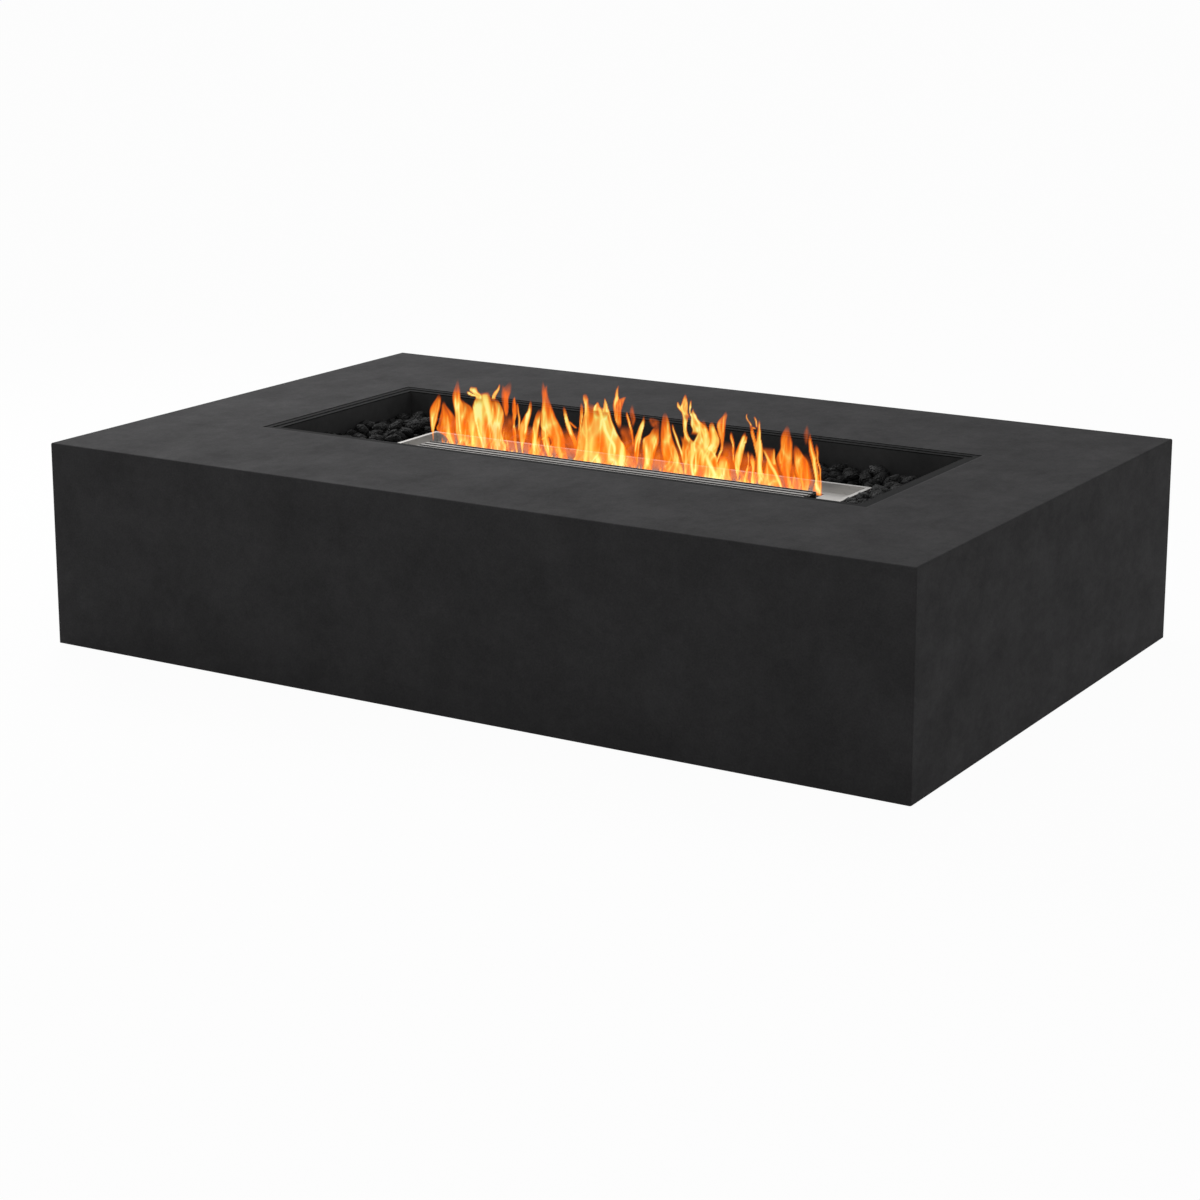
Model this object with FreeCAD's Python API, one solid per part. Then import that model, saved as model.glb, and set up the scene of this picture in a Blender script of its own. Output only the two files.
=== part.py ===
"""Long low fire pit table: a cast concrete shell around a slot burner with a sliding lid.

Millimetres. The origin is on the floor under the middle of the table, +X along the long
side, +Y away from the long front face, +Z up.
"""
import FreeCAD, Part
import math
import os
import random

V = FreeCAD.Vector

# Cast concrete shell
TABLE_LENGTH = 1650.0
TABLE_WIDTH = 1050.0
SHELL_HEIGHT = 360.0
FLOOR_GAP = 4.0
WALL = 18.0
SLAB = 22.0
EDGE_RADIUS = 3.0
CAVITY_CHAMFER = 12.0
OPENING_LENGTH = 1194.0
OPENING_WIDTH = 448.0
REBATE_DEPTH = 3.0
DOWNSTAND_WIDTH = 25.0
DOWNSTAND_DEPTH = 38.0
BOSS_PROUD = 12.0
BOSS_WIDTH = 60.0
BOSS_MARGIN = 6.0

# Flat sides that stand for a full circle on small hardware and on the feet
HARDWARE_SIDES = 12
FOOT_SIDES = 16

# Base frame of square tube
TUBE = 40.0
TUBE_WALL = 3.0
TUBE_CORNER = 2.5
FRAME_LIFT = 25.0
CROSS_RAIL_X = 265.0

# Levelling feet
FOOT_END_INSET = 60.0
STEM_DIAMETER = 12.0
THREAD_CLEARANCE = 0.1
PAD_DIAMETER = 38.0
PAD_HEIGHT = 7.0
PAD_CHAMFER = 2.0
PAD_SOCKET_DEPTH = 4.0
SOLE_THICKNESS = 3.0
SOLE_INSET = 1.0
LOCK_NUT_HEIGHT = 7.0
LOCK_NUT_FLATS = 18.0
BUSH_DIAMETER = 24.0
BUSH_HEIGHT = 14.0
STEM_TAIL = 4.0
STEM_HOLE_CLEARANCE = 0.6

# Anchors that hold the frame to the shell
LONG_ANCHOR_X = 500.0
END_ANCHOR_Y = 250.0
ANCHOR_BOLT = 10.0
ANCHOR_FLATS = 17.0
ANCHOR_HEAD = 6.5
ANCHOR_HOLE_CLEARANCE = 0.5
HEAD_FLANGE_DIAMETER = 20.0
HEAD_FLANGE = 2.0
INSERT_DIAMETER = 16.0
INSERT_DEPTH = 20.0
INSERT_GROUT = 0.1

# Fire tray of sheet steel
TRAY_SHEET = 2.0
TRAY_GAP = 2.0
TRAY_CLEARANCE = 1.5
FLANGE_WIDTH = 10.0
STEP_DROP = 1.5
LEDGE_WIDTH = 11.0
DRAIN_DIAMETER = 8.0
DRAIN_X = 515.0
DRAIN_Y = 150.0

# Slot burner
BURNER_LENGTH = 900.0
BURNER_WIDTH = 208.0
BURNER_HEIGHT = 112.0
BURNER_SHEET = 2.0
RIM_DROP = 50.0
RIM_WIDTH = 8.0
RIM_SKIRT = 8.0
RECESS_DEPTH = 16.0
SLOT_WIDTH = 44.0
SLOT_LEFT_MARGIN = 40.0
SLOT_RIGHT_MARGIN = 70.0
SLOT_BACK_MARGIN = 17.0
TANK_MARGIN = 12.0
TANK_LIFT = 10.0
THROAT_HEIGHT = 16.0
SPACER_LENGTH = 40.0
SPACER_WIDTH = 20.0
SPACER_INSET = 60.0

# Perforated baffle across the slot
BAFFLE_DROP = 3.0
BAFFLE_SHEET = 1.5
FILL_GAP = 60.0
PERFORATION = 6.0
PERFORATION_PITCH = 22.0
PERFORATION_ROW = 14.0
PERFORATION_EDGE = 8.0

# Sliding lid
LID_END_OVERLAP = 8.0
LID_SIDE_OVERLAP = 10.0
LID_PARK_GAP = 3.0
LID_HEIGHT = 15.0
LID_SHEET = 1.5
LID_CLEARANCE = 0.1
LID_CHANNELS = 4
LID_RIB = 8.0
LID_EDGE_RIB = 4.0
LID_CHANNEL_DEPTH = 2.5
LID_CORNER = 3.0
NOTCH_LENGTH = 10.0
NOTCH_WIDTH = 3.0
NOTCH_INSET = 25.0

# Cradles under the burner
CRADLE_X = 280.0
CRADLE_HEIGHT = 20.0
CRADLE_WIDTH = 50.0
CRADLE_FOOT = 15.0
CRADLE_SHEET = 2.0
CRADLE_INSET = 10.0
REST_GAP = 0.1

# Lava rock
BED_DROP = 62.0
BED_GAP = 1.0
BED_CLEARANCE = 4.0
ROCK_PITCH = 29.0
ROCK_HEIGHT_LOW = 22.0
ROCK_HEIGHT_HIGH = 33.0
ROCK_FILL = 0.98
ROCK_SEED = 11

# Places worked out from the sizes above
TOP = FLOOR_GAP + SHELL_HEIGHT
INNER_X = TABLE_LENGTH / 2 - WALL
INNER_Y = TABLE_WIDTH / 2 - WALL
BOSS_X = INNER_X - BOSS_PROUD
BOSS_Y = INNER_Y - BOSS_PROUD
REBATE_WIDTH = TRAY_GAP + FLANGE_WIDTH - TRAY_SHEET - TRAY_CLEARANCE
TRAY_LENGTH = OPENING_LENGTH - 2 * (TRAY_GAP + FLANGE_WIDTH + LEDGE_WIDTH)
TRAY_WIDTH = OPENING_WIDTH - 2 * (TRAY_GAP + FLANGE_WIDTH + LEDGE_WIDTH)
FLANGE_TOP = TOP - REBATE_DEPTH + TRAY_SHEET
LEDGE_TOP = FLANGE_TOP - STEP_DROP
RIM_TOP = TOP - RIM_DROP
DECK_TOP = RIM_TOP - RECESS_DEPTH
DECK_UNDER = DECK_TOP - BURNER_SHEET
BURNER_BOTTOM = RIM_TOP - BURNER_HEIGHT
CRADLE_TOP = BURNER_BOTTOM - REST_GAP
TRAY_FLOOR = CRADLE_TOP - CRADLE_HEIGHT
CASING_LENGTH = BURNER_LENGTH - 2 * RIM_WIDTH
CASING_WIDTH = BURNER_WIDTH - 2 * RIM_WIDTH
SLOT_LENGTH = CASING_LENGTH - SLOT_LEFT_MARGIN - SLOT_RIGHT_MARGIN
SLOT_X = (SLOT_LEFT_MARGIN - SLOT_RIGHT_MARGIN) / 2
SLOT_Y = (CASING_WIDTH - SLOT_WIDTH) / 2 - SLOT_BACK_MARGIN
LID_LENGTH = SLOT_LENGTH + 2 * LID_END_OVERLAP
LID_WIDTH = SLOT_WIDTH + 2 * LID_SIDE_OVERLAP
LID_CHANNEL = (LID_WIDTH - 2 * LID_EDGE_RIB - (LID_CHANNELS - 1) * LID_RIB) / LID_CHANNELS
LID_Y = SLOT_Y - (SLOT_WIDTH + LID_WIDTH) / 2 - LID_PARK_GAP
TANK_LENGTH = CASING_LENGTH - 2 * (BURNER_SHEET + TANK_MARGIN)
TANK_WIDTH = CASING_WIDTH - 2 * (BURNER_SHEET + TANK_MARGIN)
TANK_TOP = DECK_UNDER - THROAT_HEIGHT
TANK_BOTTOM = BURNER_BOTTOM + BURNER_SHEET + TANK_LIFT
BED_TOP = TOP - BED_DROP
FRAME_TOP = FRAME_LIFT + TUBE
RAIL_Y = BOSS_Y - TUBE / 2
RAIL_X = BOSS_X - TUBE / 2
CROSS_LENGTH = 2 * (BOSS_Y - TUBE)


def block(x0, x1, y0, y1, z0, z1):
    """A box between two corners."""
    return Part.makeBox(x1 - x0, y1 - y0, z1 - z0, V(x0, y0, z0))


def centred(length, width, z0, z1, x=0.0, y=0.0):
    """A box of a given length and width centred on x and y."""
    return block(x - length / 2, x + length / 2, y - width / 2, y + width / 2, z0, z1)


def rod(diameter, height, base, axis=V(0, 0, 1), sides=HARDWARE_SIDES):
    """A regular prism across corners that stands on base and runs along axis."""
    turn = 2 * math.pi / sides
    corners = [V(math.cos(k * turn), math.sin(k * turn), 0) * (diameter / 2)
               for k in range(sides)]
    prism = polygon(corners).extrude(V(0, 0, height))
    prism.Placement = FreeCAD.Placement(base, FreeCAD.Rotation(V(0, 0, 1), axis))
    return prism


def hexagon(flats, height, base, axis=V(0, 0, 1)):
    """A hexagonal prism, flats across, that stands on base and runs along axis."""
    return rod(2 * flats / math.sqrt(3), height, base, axis, 6)


def fillet_where(solid, radius, test):
    """Round the edges whose bounding box passes a test."""
    edges = [edge for edge in solid.Edges if test(edge.BoundBox)]
    return solid.makeFillet(radius, edges) if edges else solid


def folded(points, sheet):
    """The closed outline of a folded sheet.

    The points are the fold lines of its showing face. Each fold of the hidden face lies on
    the bisector of its two flats, a sheet's thickness to the left of the way along.
    """
    flats = []
    for a, b in zip(points, points[1:]):
        run = math.hypot(b[0] - a[0], b[1] - a[1])
        flats.append((-(b[1] - a[1]) / run, (b[0] - a[0]) / run))
    normals = [flats[0]] + flats + [flats[-1]]
    back = []
    for point, before, after in zip(points, normals, normals[1:]):
        share = sheet / (1 + before[0] * after[0] + before[1] * after[1])
        back.append((point[0] + share * (before[0] + after[0]),
                     point[1] + share * (before[1] + after[1])))
    return points + back[::-1]


def mitred_frame(outline, length, width):
    """Carry an outline of (inwards, height) points round a rectangle with mitred corners."""
    a, b = length / 2, width / 2
    path = Part.makePolygon([V(a, 0, 0), V(a, b, 0), V(-a, b, 0), V(-a, -b, 0),
                             V(a, -b, 0), V(a, 0, 0)])
    corners = [V(a - inwards, 0, height) for inwards, height in outline]
    frame = path.makePipeShell([Part.makePolygon(corners + corners[:1])], True, False, 1)
    return Part.Solid(frame) if frame.ShapeType == "Shell" else frame


def closed(faces):
    """The solid that a closed set of flat faces encloses, whichever way they are wound."""
    solid = Part.makeSolid(Part.makeShell(faces))
    if solid.Volume < 0:
        solid.reverse()
    return solid


def polygon(corners):
    """A flat face with these corners."""
    return Part.Face(Part.makePolygon(corners + corners[:1]))


def mitred_strip(outline, length, width, start, end):
    """One side of a mitred frame: an outline of (inwards, height) points from corner to corner.

    Start and end are the signs of x and y at the two corners of the rectangle.
    """
    first, last = ([V(sx * (length / 2 - inwards), sy * (width / 2 - inwards), height)
                    for inwards, height in outline] for sx, sy in (start, end))
    sides = [polygon([first[k - 1], first[k], last[k], last[k - 1]]) for k in range(len(first))]
    return closed([polygon(first), polygon(last)] + sides)


def extrude_x(outline, length, x=0.0):
    """Extrude an outline of (y, z) points along X, centred on x."""
    return polygon([V(x - length / 2, y, z) for y, z in outline]).extrude(V(length, 0, 0))


def extrude_y(outline, length, y=0.0):
    """Extrude an outline of (x, z) points along Y, centred on y."""
    return polygon([V(x, y - length / 2, z) for x, z in outline]).extrude(V(0, length, 0))


def foot_places():
    """The levelling feet: one near each corner and one in the middle of each long side."""
    end = BOSS_X - FOOT_END_INSET
    return [(x, y) for y in (-RAIL_Y, RAIL_Y) for x in (-end, 0.0, end)]


def anchor_places():
    """Each anchor: the middle of its boss face and the way from the frame into the wall."""
    z = FRAME_LIFT + TUBE / 2
    places = []
    for side in (-1, 1):
        for x in (-LONG_ANCHOR_X, LONG_ANCHOR_X):
            places.append((V(x, side * BOSS_Y, z), V(0, side, 0)))
        for y in (-END_ANCHOR_Y, END_ANCHOR_Y):
            places.append((V(side * BOSS_X, y, z), V(side, 0, 0)))
    return places


def concrete_shell():
    """One casting, open below: four walls, the top with its rebated opening and a downstand."""
    z0 = FLOOR_GAP
    shell = centred(TABLE_LENGTH, TABLE_WIDTH, z0, TOP)

    def outer_edge(box):
        corner = box.ZLength > SHELL_HEIGHT / 2
        return corner or box.ZMin > z0 + SHELL_HEIGHT / 2

    shell = fillet_where(shell, EDGE_RADIUS, outer_edge)
    cavity = centred(2 * INNER_X, 2 * INNER_Y, z0 - 1, TOP - SLAB)
    roof = TOP - SLAB - CAVITY_CHAMFER
    cavity = cavity.makeChamfer(CAVITY_CHAMFER, [edge for edge in cavity.Edges
                                                 if edge.BoundBox.ZMin > roof])
    hole_x = OPENING_LENGTH - 2 * REBATE_WIDTH
    hole_y = OPENING_WIDTH - 2 * REBATE_WIDTH
    downstand = centred(hole_x + 2 * DOWNSTAND_WIDTH, hole_y + 2 * DOWNSTAND_WIDTH,
                        TOP - SLAB - DOWNSTAND_DEPTH, TOP - SLAB)
    shell = shell.cut(cavity).fuse(downstand)
    shell = shell.cut(centred(hole_x, hole_y, z0, TOP + 1))
    shell = shell.cut(centred(OPENING_LENGTH, OPENING_WIDTH, TOP - REBATE_DEPTH, TOP + 1))
    boss_half = BOSS_WIDTH / 2
    bosses = []
    holes = []
    for face, way in anchor_places():
        across = V(way.y, way.x, 0) * boss_half
        out = face + way * (BOSS_PROUD + WALL / 2)
        xs = [face.x - across.x, face.x + across.x, out.x]
        ys = [face.y - across.y, face.y + across.y, out.y]
        bosses.append(block(min(xs), max(xs), min(ys), max(ys),
                            FRAME_LIFT - BOSS_MARGIN, FRAME_TOP + BOSS_MARGIN))
        holes.append(rod(INSERT_DIAMETER + 2 * INSERT_GROUT, INSERT_DEPTH, face, way))
    shell = shell.fuse(bosses).cut(holes)
    return shell.removeSplitter()


def tube(length, x, y, along_x):
    """A square tube with eased outer corners, centred on x and y at the frame's height."""
    outer = centred(length, TUBE, FRAME_LIFT, FRAME_TOP)
    outer = outer.makeChamfer(TUBE_CORNER, [edge for edge in outer.Edges
                                            if edge.BoundBox.XLength > length / 2])
    inner = centred(length + 2, TUBE - 2 * TUBE_WALL, FRAME_LIFT + TUBE_WALL,
                    FRAME_TOP - TUBE_WALL)
    solid = outer.cut(inner)
    if not along_x:
        solid.rotate(V(0, 0, 0), V(0, 0, 1), 90)
    solid.translate(V(x, y, 0))
    return solid


def drilled(rail):
    """Drill a rail for the feet's stems, and through both sides for the anchor bolts."""
    bolt_hole = ANCHOR_BOLT + 2 * ANCHOR_HOLE_CLEARANCE
    stem_hole = STEM_DIAMETER + 2 * STEM_HOLE_CLEARANCE
    holes = [rod(bolt_hole, TUBE + 2, face + way, way * -1) for face, way in anchor_places()]
    holes += [rod(stem_hole, TUBE_WALL + 2, V(x, y, FRAME_LIFT - 1)) for x, y in foot_places()]
    return rail.cut(holes)


def foot_soles():
    """Rubber discs under the foot pads."""
    width = PAD_DIAMETER - 2 * SOLE_INSET
    return [rod(width, SOLE_THICKNESS, V(x, y, 0), sides=FOOT_SIDES) for x, y in foot_places()]


def foot_pads():
    """Steel discs with a chamfered shoulder and a socket for the stem."""
    pads = []
    for x, y in foot_places():
        pad = rod(PAD_DIAMETER, PAD_HEIGHT, V(x, y, SOLE_THICKNESS), sides=FOOT_SIDES)
        top = SOLE_THICKNESS + PAD_HEIGHT
        pad = pad.makeChamfer(PAD_CHAMFER, [edge for edge in pad.Edges
                                            if edge.BoundBox.ZMin > top - 1])
        socket = rod(STEM_DIAMETER + 2 * THREAD_CLEARANCE, PAD_SOCKET_DEPTH,
                     V(x, y, top - PAD_SOCKET_DEPTH))
        pads.append(pad.cut(socket))
    return pads


def foot_stems():
    """Threaded stems, drawn as plain rods, from the pads' sockets past the weld bushes."""
    base = SOLE_THICKNESS + PAD_HEIGHT - PAD_SOCKET_DEPTH
    height = FRAME_LIFT + TUBE_WALL + BUSH_HEIGHT + STEM_TAIL - base
    return [rod(STEM_DIAMETER, height, V(x, y, base)) for x, y in foot_places()]


def foot_lock_nuts():
    """Nuts that lock the stems against the underside of the rails."""
    bore = STEM_DIAMETER + 2 * THREAD_CLEARANCE
    base = FRAME_LIFT - LOCK_NUT_HEIGHT
    return [hexagon(LOCK_NUT_FLATS, LOCK_NUT_HEIGHT, V(x, y, base)).cut(
        rod(bore, LOCK_NUT_HEIGHT + 2, V(x, y, base - 1))) for x, y in foot_places()]


def weld_bushes():
    """Threaded bushes that stand inside the rails on their lower wall."""
    bore = STEM_DIAMETER + 2 * THREAD_CLEARANCE
    base = FRAME_LIFT + TUBE_WALL
    return [rod(BUSH_DIAMETER, BUSH_HEIGHT, V(x, y, base)).cut(
        rod(bore, BUSH_HEIGHT + 2, V(x, y, base - 1))) for x, y in foot_places()]


def anchor_inserts():
    """Threaded sleeves cast into the bosses, flush with their faces."""
    bore = ANCHOR_BOLT + 2 * THREAD_CLEARANCE
    return [rod(INSERT_DIAMETER, INSERT_DEPTH, face, way).cut(
        rod(bore, INSERT_DEPTH + 1, face, way)) for face, way in anchor_places()]


def anchor_bolts():
    """Flanged hexagon bolts through the rails into the sleeves, just short of their bottom."""
    bolts = []
    for face, way in anchor_places():
        seat = face - way * TUBE
        back = way * -1
        flange = rod(HEAD_FLANGE_DIAMETER, HEAD_FLANGE, seat, back)
        head = hexagon(ANCHOR_FLATS, ANCHOR_HEAD, seat, back)
        shank = rod(ANCHOR_BOLT, TUBE + INSERT_DEPTH - THREAD_CLEARANCE, seat, way)
        bolts.append(shank.fuse([flange, head]).removeSplitter())
    return bolts


def tray_floor():
    """The floor plate of the fire tray, with its drain holes."""
    floor = centred(TRAY_LENGTH + 2 * TRAY_SHEET, TRAY_WIDTH + 2 * TRAY_SHEET,
                    TRAY_FLOOR - TRAY_SHEET, TRAY_FLOOR)
    drains = [rod(DRAIN_DIAMETER, TRAY_SHEET + 2, V(x, y, TRAY_FLOOR - TRAY_SHEET - 1))
              for x in (-DRAIN_X, 0.0, DRAIN_X) for y in (-DRAIN_Y, DRAIN_Y)]
    return floor.cut(drains)


def tray_wall(length, width, x=0.0, y=0.0):
    """A wall plate of the fire tray, welded on the floor plate and under the flange."""
    return centred(length, width, TRAY_FLOOR, LEDGE_TOP - TRAY_SHEET, x, y)


def tray_walls():
    """Two long wall plates with the two end plates between them."""
    x = (TRAY_LENGTH + TRAY_SHEET) / 2
    y = (TRAY_WIDTH + TRAY_SHEET) / 2
    long_wall = TRAY_LENGTH + 2 * TRAY_SHEET
    return {
        "tray_front_wall": tray_wall(long_wall, TRAY_SHEET, y=-y),
        "tray_rear_wall": tray_wall(long_wall, TRAY_SHEET, y=y),
        "tray_left_wall": tray_wall(TRAY_SHEET, TRAY_WIDTH, x=-x),
        "tray_right_wall": tray_wall(TRAY_SHEET, TRAY_WIDTH, x=x),
    }


def tray_flanges():
    """Four folded strips with a step, mitred at the corners, that hang on the rebate."""
    outer = TRAY_GAP + FLANGE_WIDTH
    wall = outer + LEDGE_WIDTH
    face = [(wall, LEDGE_TOP), (outer, LEDGE_TOP), (outer, FLANGE_TOP), (TRAY_GAP, FLANGE_TOP)]
    outline = folded(face, TRAY_SHEET)
    ends = {"front": ((-1, -1), (1, -1)), "rear": ((1, 1), (-1, 1)),
            "left": ((-1, 1), (-1, -1)), "right": ((1, -1), (1, 1))}
    return {"tray_" + side + "_flange": mitred_strip(outline, OPENING_LENGTH, OPENING_WIDTH,
                                                     start, end)
            for side, (start, end) in ends.items()}


def burner_cradle(x):
    """A hat-section support across the tray that carries the burner."""
    half = CRADLE_WIDTH / 2
    low = TRAY_FLOOR + CRADLE_SHEET
    face = [(half + CRADLE_FOOT, low), (half, low), (half, CRADLE_TOP), (-half, CRADLE_TOP),
            (-half, low), (-half - CRADLE_FOOT, low)]
    outline = [(x + u, z) for u, z in folded(face, CRADLE_SHEET)]
    return extrude_y(outline, CASING_WIDTH - 2 * CRADLE_INSET)


def burner_surround():
    """Rim, recess walls and deck of the burner, with the long slot in the deck."""
    face = [(RIM_WIDTH, DECK_UNDER), (RIM_WIDTH, RIM_TOP), (0.0, RIM_TOP),
            (0.0, RIM_TOP - RIM_SKIRT)]
    frame = mitred_frame(folded(face, BURNER_SHEET), BURNER_LENGTH, BURNER_WIDTH)
    deck = centred(CASING_LENGTH, CASING_WIDTH, DECK_UNDER, DECK_TOP)
    slot = centred(SLOT_LENGTH, SLOT_WIDTH, DECK_UNDER - 1, DECK_TOP + 1, SLOT_X, SLOT_Y)
    return frame.fuse(deck).cut(slot).removeSplitter()


def burner_casing():
    """Outer heat shield below the deck, open above."""
    inside = 2 * BURNER_SHEET
    casing = centred(CASING_LENGTH, CASING_WIDTH, BURNER_BOTTOM, DECK_UNDER)
    return casing.cut(centred(CASING_LENGTH - inside, CASING_WIDTH - inside,
                              BURNER_BOTTOM + BURNER_SHEET, DECK_UNDER + 1))


def fuel_tank():
    """Closed tank inside the casing, with a long mouth under the slot."""
    inside = 2 * BURNER_SHEET
    tank = centred(TANK_LENGTH, TANK_WIDTH, TANK_BOTTOM, TANK_TOP)
    tank = tank.cut(centred(TANK_LENGTH - inside, TANK_WIDTH - inside,
                            TANK_BOTTOM + BURNER_SHEET, TANK_TOP - BURNER_SHEET))
    return tank.cut(centred(SLOT_LENGTH, SLOT_WIDTH, TANK_TOP - BURNER_SHEET - 1, TANK_TOP + 1,
                            SLOT_X, SLOT_Y))


def burner_throat():
    """Collar that joins the tank's mouth to the slot in the deck."""
    outside = 2 * BURNER_SHEET
    collar = centred(SLOT_LENGTH + outside, SLOT_WIDTH + outside, TANK_TOP, DECK_UNDER,
                     SLOT_X, SLOT_Y)
    return collar.cut(centred(SLOT_LENGTH, SLOT_WIDTH, TANK_TOP - 1, DECK_UNDER + 1,
                              SLOT_X, SLOT_Y))


def tank_spacers():
    """Blocks that hold the tank off the casing's floor."""
    x = TANK_LENGTH / 2 - SPACER_INSET
    y = TANK_WIDTH / 2 - SPACER_WIDTH
    return [centred(SPACER_LENGTH, SPACER_WIDTH, BURNER_BOTTOM + BURNER_SHEET, TANK_BOTTOM,
                    sx * x, sy * y) for sx in (-1, 0, 1) for sy in (-1, 1)]


def flame_baffle():
    """Perforated strip across the throat, short of one end, where the fuel is poured in."""
    top = DECK_UNDER - BAFFLE_DROP
    length = SLOT_LENGTH - FILL_GAP
    x = SLOT_X - FILL_GAP / 2
    strip = centred(length, SLOT_WIDTH, top - BAFFLE_SHEET, top, x, SLOT_Y)
    count = int((length - 2 * PERFORATION_EDGE - PERFORATION_PITCH) // PERFORATION_PITCH)
    holes = []
    for row, stagger in ((-1, 0.0), (1, 0.5)):
        for k in range(count):
            place = x + (k + stagger - count / 2) * PERFORATION_PITCH + PERFORATION_PITCH / 4
            holes.append(centred(PERFORATION, PERFORATION, top - BAFFLE_SHEET - 1, top + 1,
                                 place, SLOT_Y + row * PERFORATION_ROW / 2))
    return strip.cut(holes)


def slide_lid():
    """Inverted channel whose top is pressed into ribs, parked in front of the slot."""
    low = DECK_TOP + LID_CLEARANCE
    high = low + LID_HEIGHT
    sunk = high - LID_CHANNEL_DEPTH
    back = LID_Y + LID_WIDTH / 2
    front = LID_Y - LID_WIDTH / 2
    face = [(back, low), (back, high)]
    for k in range(LID_CHANNELS):
        start = back - LID_EDGE_RIB - k * (LID_CHANNEL + LID_RIB)
        end = start - LID_CHANNEL
        face += [(start, high), (start, sunk), (end, sunk), (end, high)]
    face += [(front, high), (front, low)]
    lid = extrude_x(folded(face, LID_SHEET), LID_LENGTH, SLOT_X)

    def outer_edge(box):
        side = box.YMax > back - LID_SHEET / 2 or box.YMin < front + LID_SHEET / 2
        return box.XLength > LID_LENGTH / 2 and box.ZMin > high - LID_SHEET / 2 and side

    lid = fillet_where(lid, LID_CORNER, outer_edge)
    end = LID_LENGTH / 2 - NOTCH_INSET
    for x in (-end, 0.0, end):
        lid = lid.cut(centred(NOTCH_LENGTH, NOTCH_WIDTH, sunk - LID_SHEET - 1, high + 1,
                              SLOT_X + x, back - LID_EDGE_RIB - LID_CHANNEL / 2))
    return lid


def rock_bed():
    """Lower fill of the tray: a ring round the burner, level below the top stones."""
    gap = 2 * BED_GAP
    bed = centred(TRAY_LENGTH - gap, TRAY_WIDTH - gap, TRAY_FLOOR, BED_TOP)
    well = 2 * BED_CLEARANCE
    return bed.cut(centred(BURNER_LENGTH + well, BURNER_WIDTH + well, TRAY_FLOOR - 1, BED_TOP + 1))


def stone(x, y, reach_x, reach_y, height, rng):
    """A lava stone of twenty flat faces, an uneven icosahedron that lies on one of them.

    Four rings of three corners stand one above the other. Each ring is turned by a sixth of a
    turn against the ring across its faces, and every corner is drawn in by its own share.
    """
    levels = ((0.0, 0.62, 0.0), (0.34, 1.0, 0.5), (0.66, 1.0, 0.0), (1.0, 0.6, 0.5))
    start = rng.uniform(0, 2 * math.pi)
    rings = []
    for level, share, turn in levels:
        ring = []
        for k in range(3):
            angle = start + (k + turn) * 2 * math.pi / 3
            radius = share * rng.uniform(0.86, 1.0)
            lift = 0.0 if level == 0.0 else height * (level - rng.uniform(0.0, 0.12))
            ring.append(V(x + reach_x * radius * math.cos(angle),
                          y + reach_y * radius * math.sin(angle), BED_TOP + lift))
        rings.append(ring)
    low, mid, upper, top = rings
    faces = [(low[0], low[1], low[2]), (top[0], top[1], top[2])]
    for k in range(3):
        n = (k + 1) % 3
        faces += [(low[k], low[n], mid[k]), (low[k], mid[k - 1], upper[k]),
                  (low[k], upper[k], mid[k]), (mid[k], upper[k], top[k]),
                  (mid[k], top[k], upper[n]), (top[k - 1], top[k], upper[k])]
    return closed([polygon(list(face)) for face in faces])


def stones(x0, x1, y0, y1, seed):
    """Top stones over a rectangle, each within its own cell, with every other row shifted."""
    rng = random.Random(seed)
    columns = max(1, int((x1 - x0) // ROCK_PITCH))
    rows = max(1, int((y1 - y0) // ROCK_PITCH))
    pitch_x = (x1 - x0) / columns
    pitch_y = (y1 - y0) / rows
    reach_x = pitch_x / 2 * ROCK_FILL
    reach_y = pitch_y / 2 * ROCK_FILL
    made = []
    for row in range(rows):
        shifted = row % 2
        for column in range(columns - shifted):
            x = x0 + (column + 0.5 + shifted / 2) * pitch_x
            y = y0 + (row + 0.5) * pitch_y
            height = rng.uniform(ROCK_HEIGHT_LOW, ROCK_HEIGHT_HIGH)
            made.append(stone(x, y, reach_x, reach_y, height, rng))
    return made


def rock_zones():
    """The four rectangles of stones between the tray's walls and the burner."""
    out_x = TRAY_LENGTH / 2 - BED_GAP
    out_y = TRAY_WIDTH / 2 - BED_GAP
    in_x = BURNER_LENGTH / 2 + BED_CLEARANCE
    in_y = BURNER_WIDTH / 2 + BED_CLEARANCE
    return {
        "lava_rocks_left": stones(-out_x, -in_x, -out_y, out_y, ROCK_SEED),
        "lava_rocks_right": stones(in_x, out_x, -out_y, out_y, ROCK_SEED + 1),
        "lava_rocks_front": stones(-in_x, in_x, -out_y, -in_y, ROCK_SEED + 2),
        "lava_rocks_back": stones(-in_x, in_x, in_y, out_y, ROCK_SEED + 3),
    }


def frame_rails():
    """The base frame: two long rails, two end rails and two cross rails between them."""
    return {
        "front_rail": drilled(tube(2 * BOSS_X, 0.0, -RAIL_Y, True)),
        "rear_rail": drilled(tube(2 * BOSS_X, 0.0, RAIL_Y, True)),
        "left_end_rail": drilled(tube(CROSS_LENGTH, -RAIL_X, 0.0, False)),
        "right_end_rail": drilled(tube(CROSS_LENGTH, RAIL_X, 0.0, False)),
        "left_cross_rail": tube(CROSS_LENGTH, -CROSS_RAIL_X, 0.0, False),
        "right_cross_rail": tube(CROSS_LENGTH, CROSS_RAIL_X, 0.0, False),
    }


def write(name, shape):
    """Write one node: a solid, or a group of separate solids."""
    if isinstance(shape, list):
        shape = Part.makeCompound(shape)
    shape.exportStep(os.path.join("parts", name + ".step"))
    print(name, len(shape.Solids), round(shape.Volume), shape.isValid())


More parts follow.
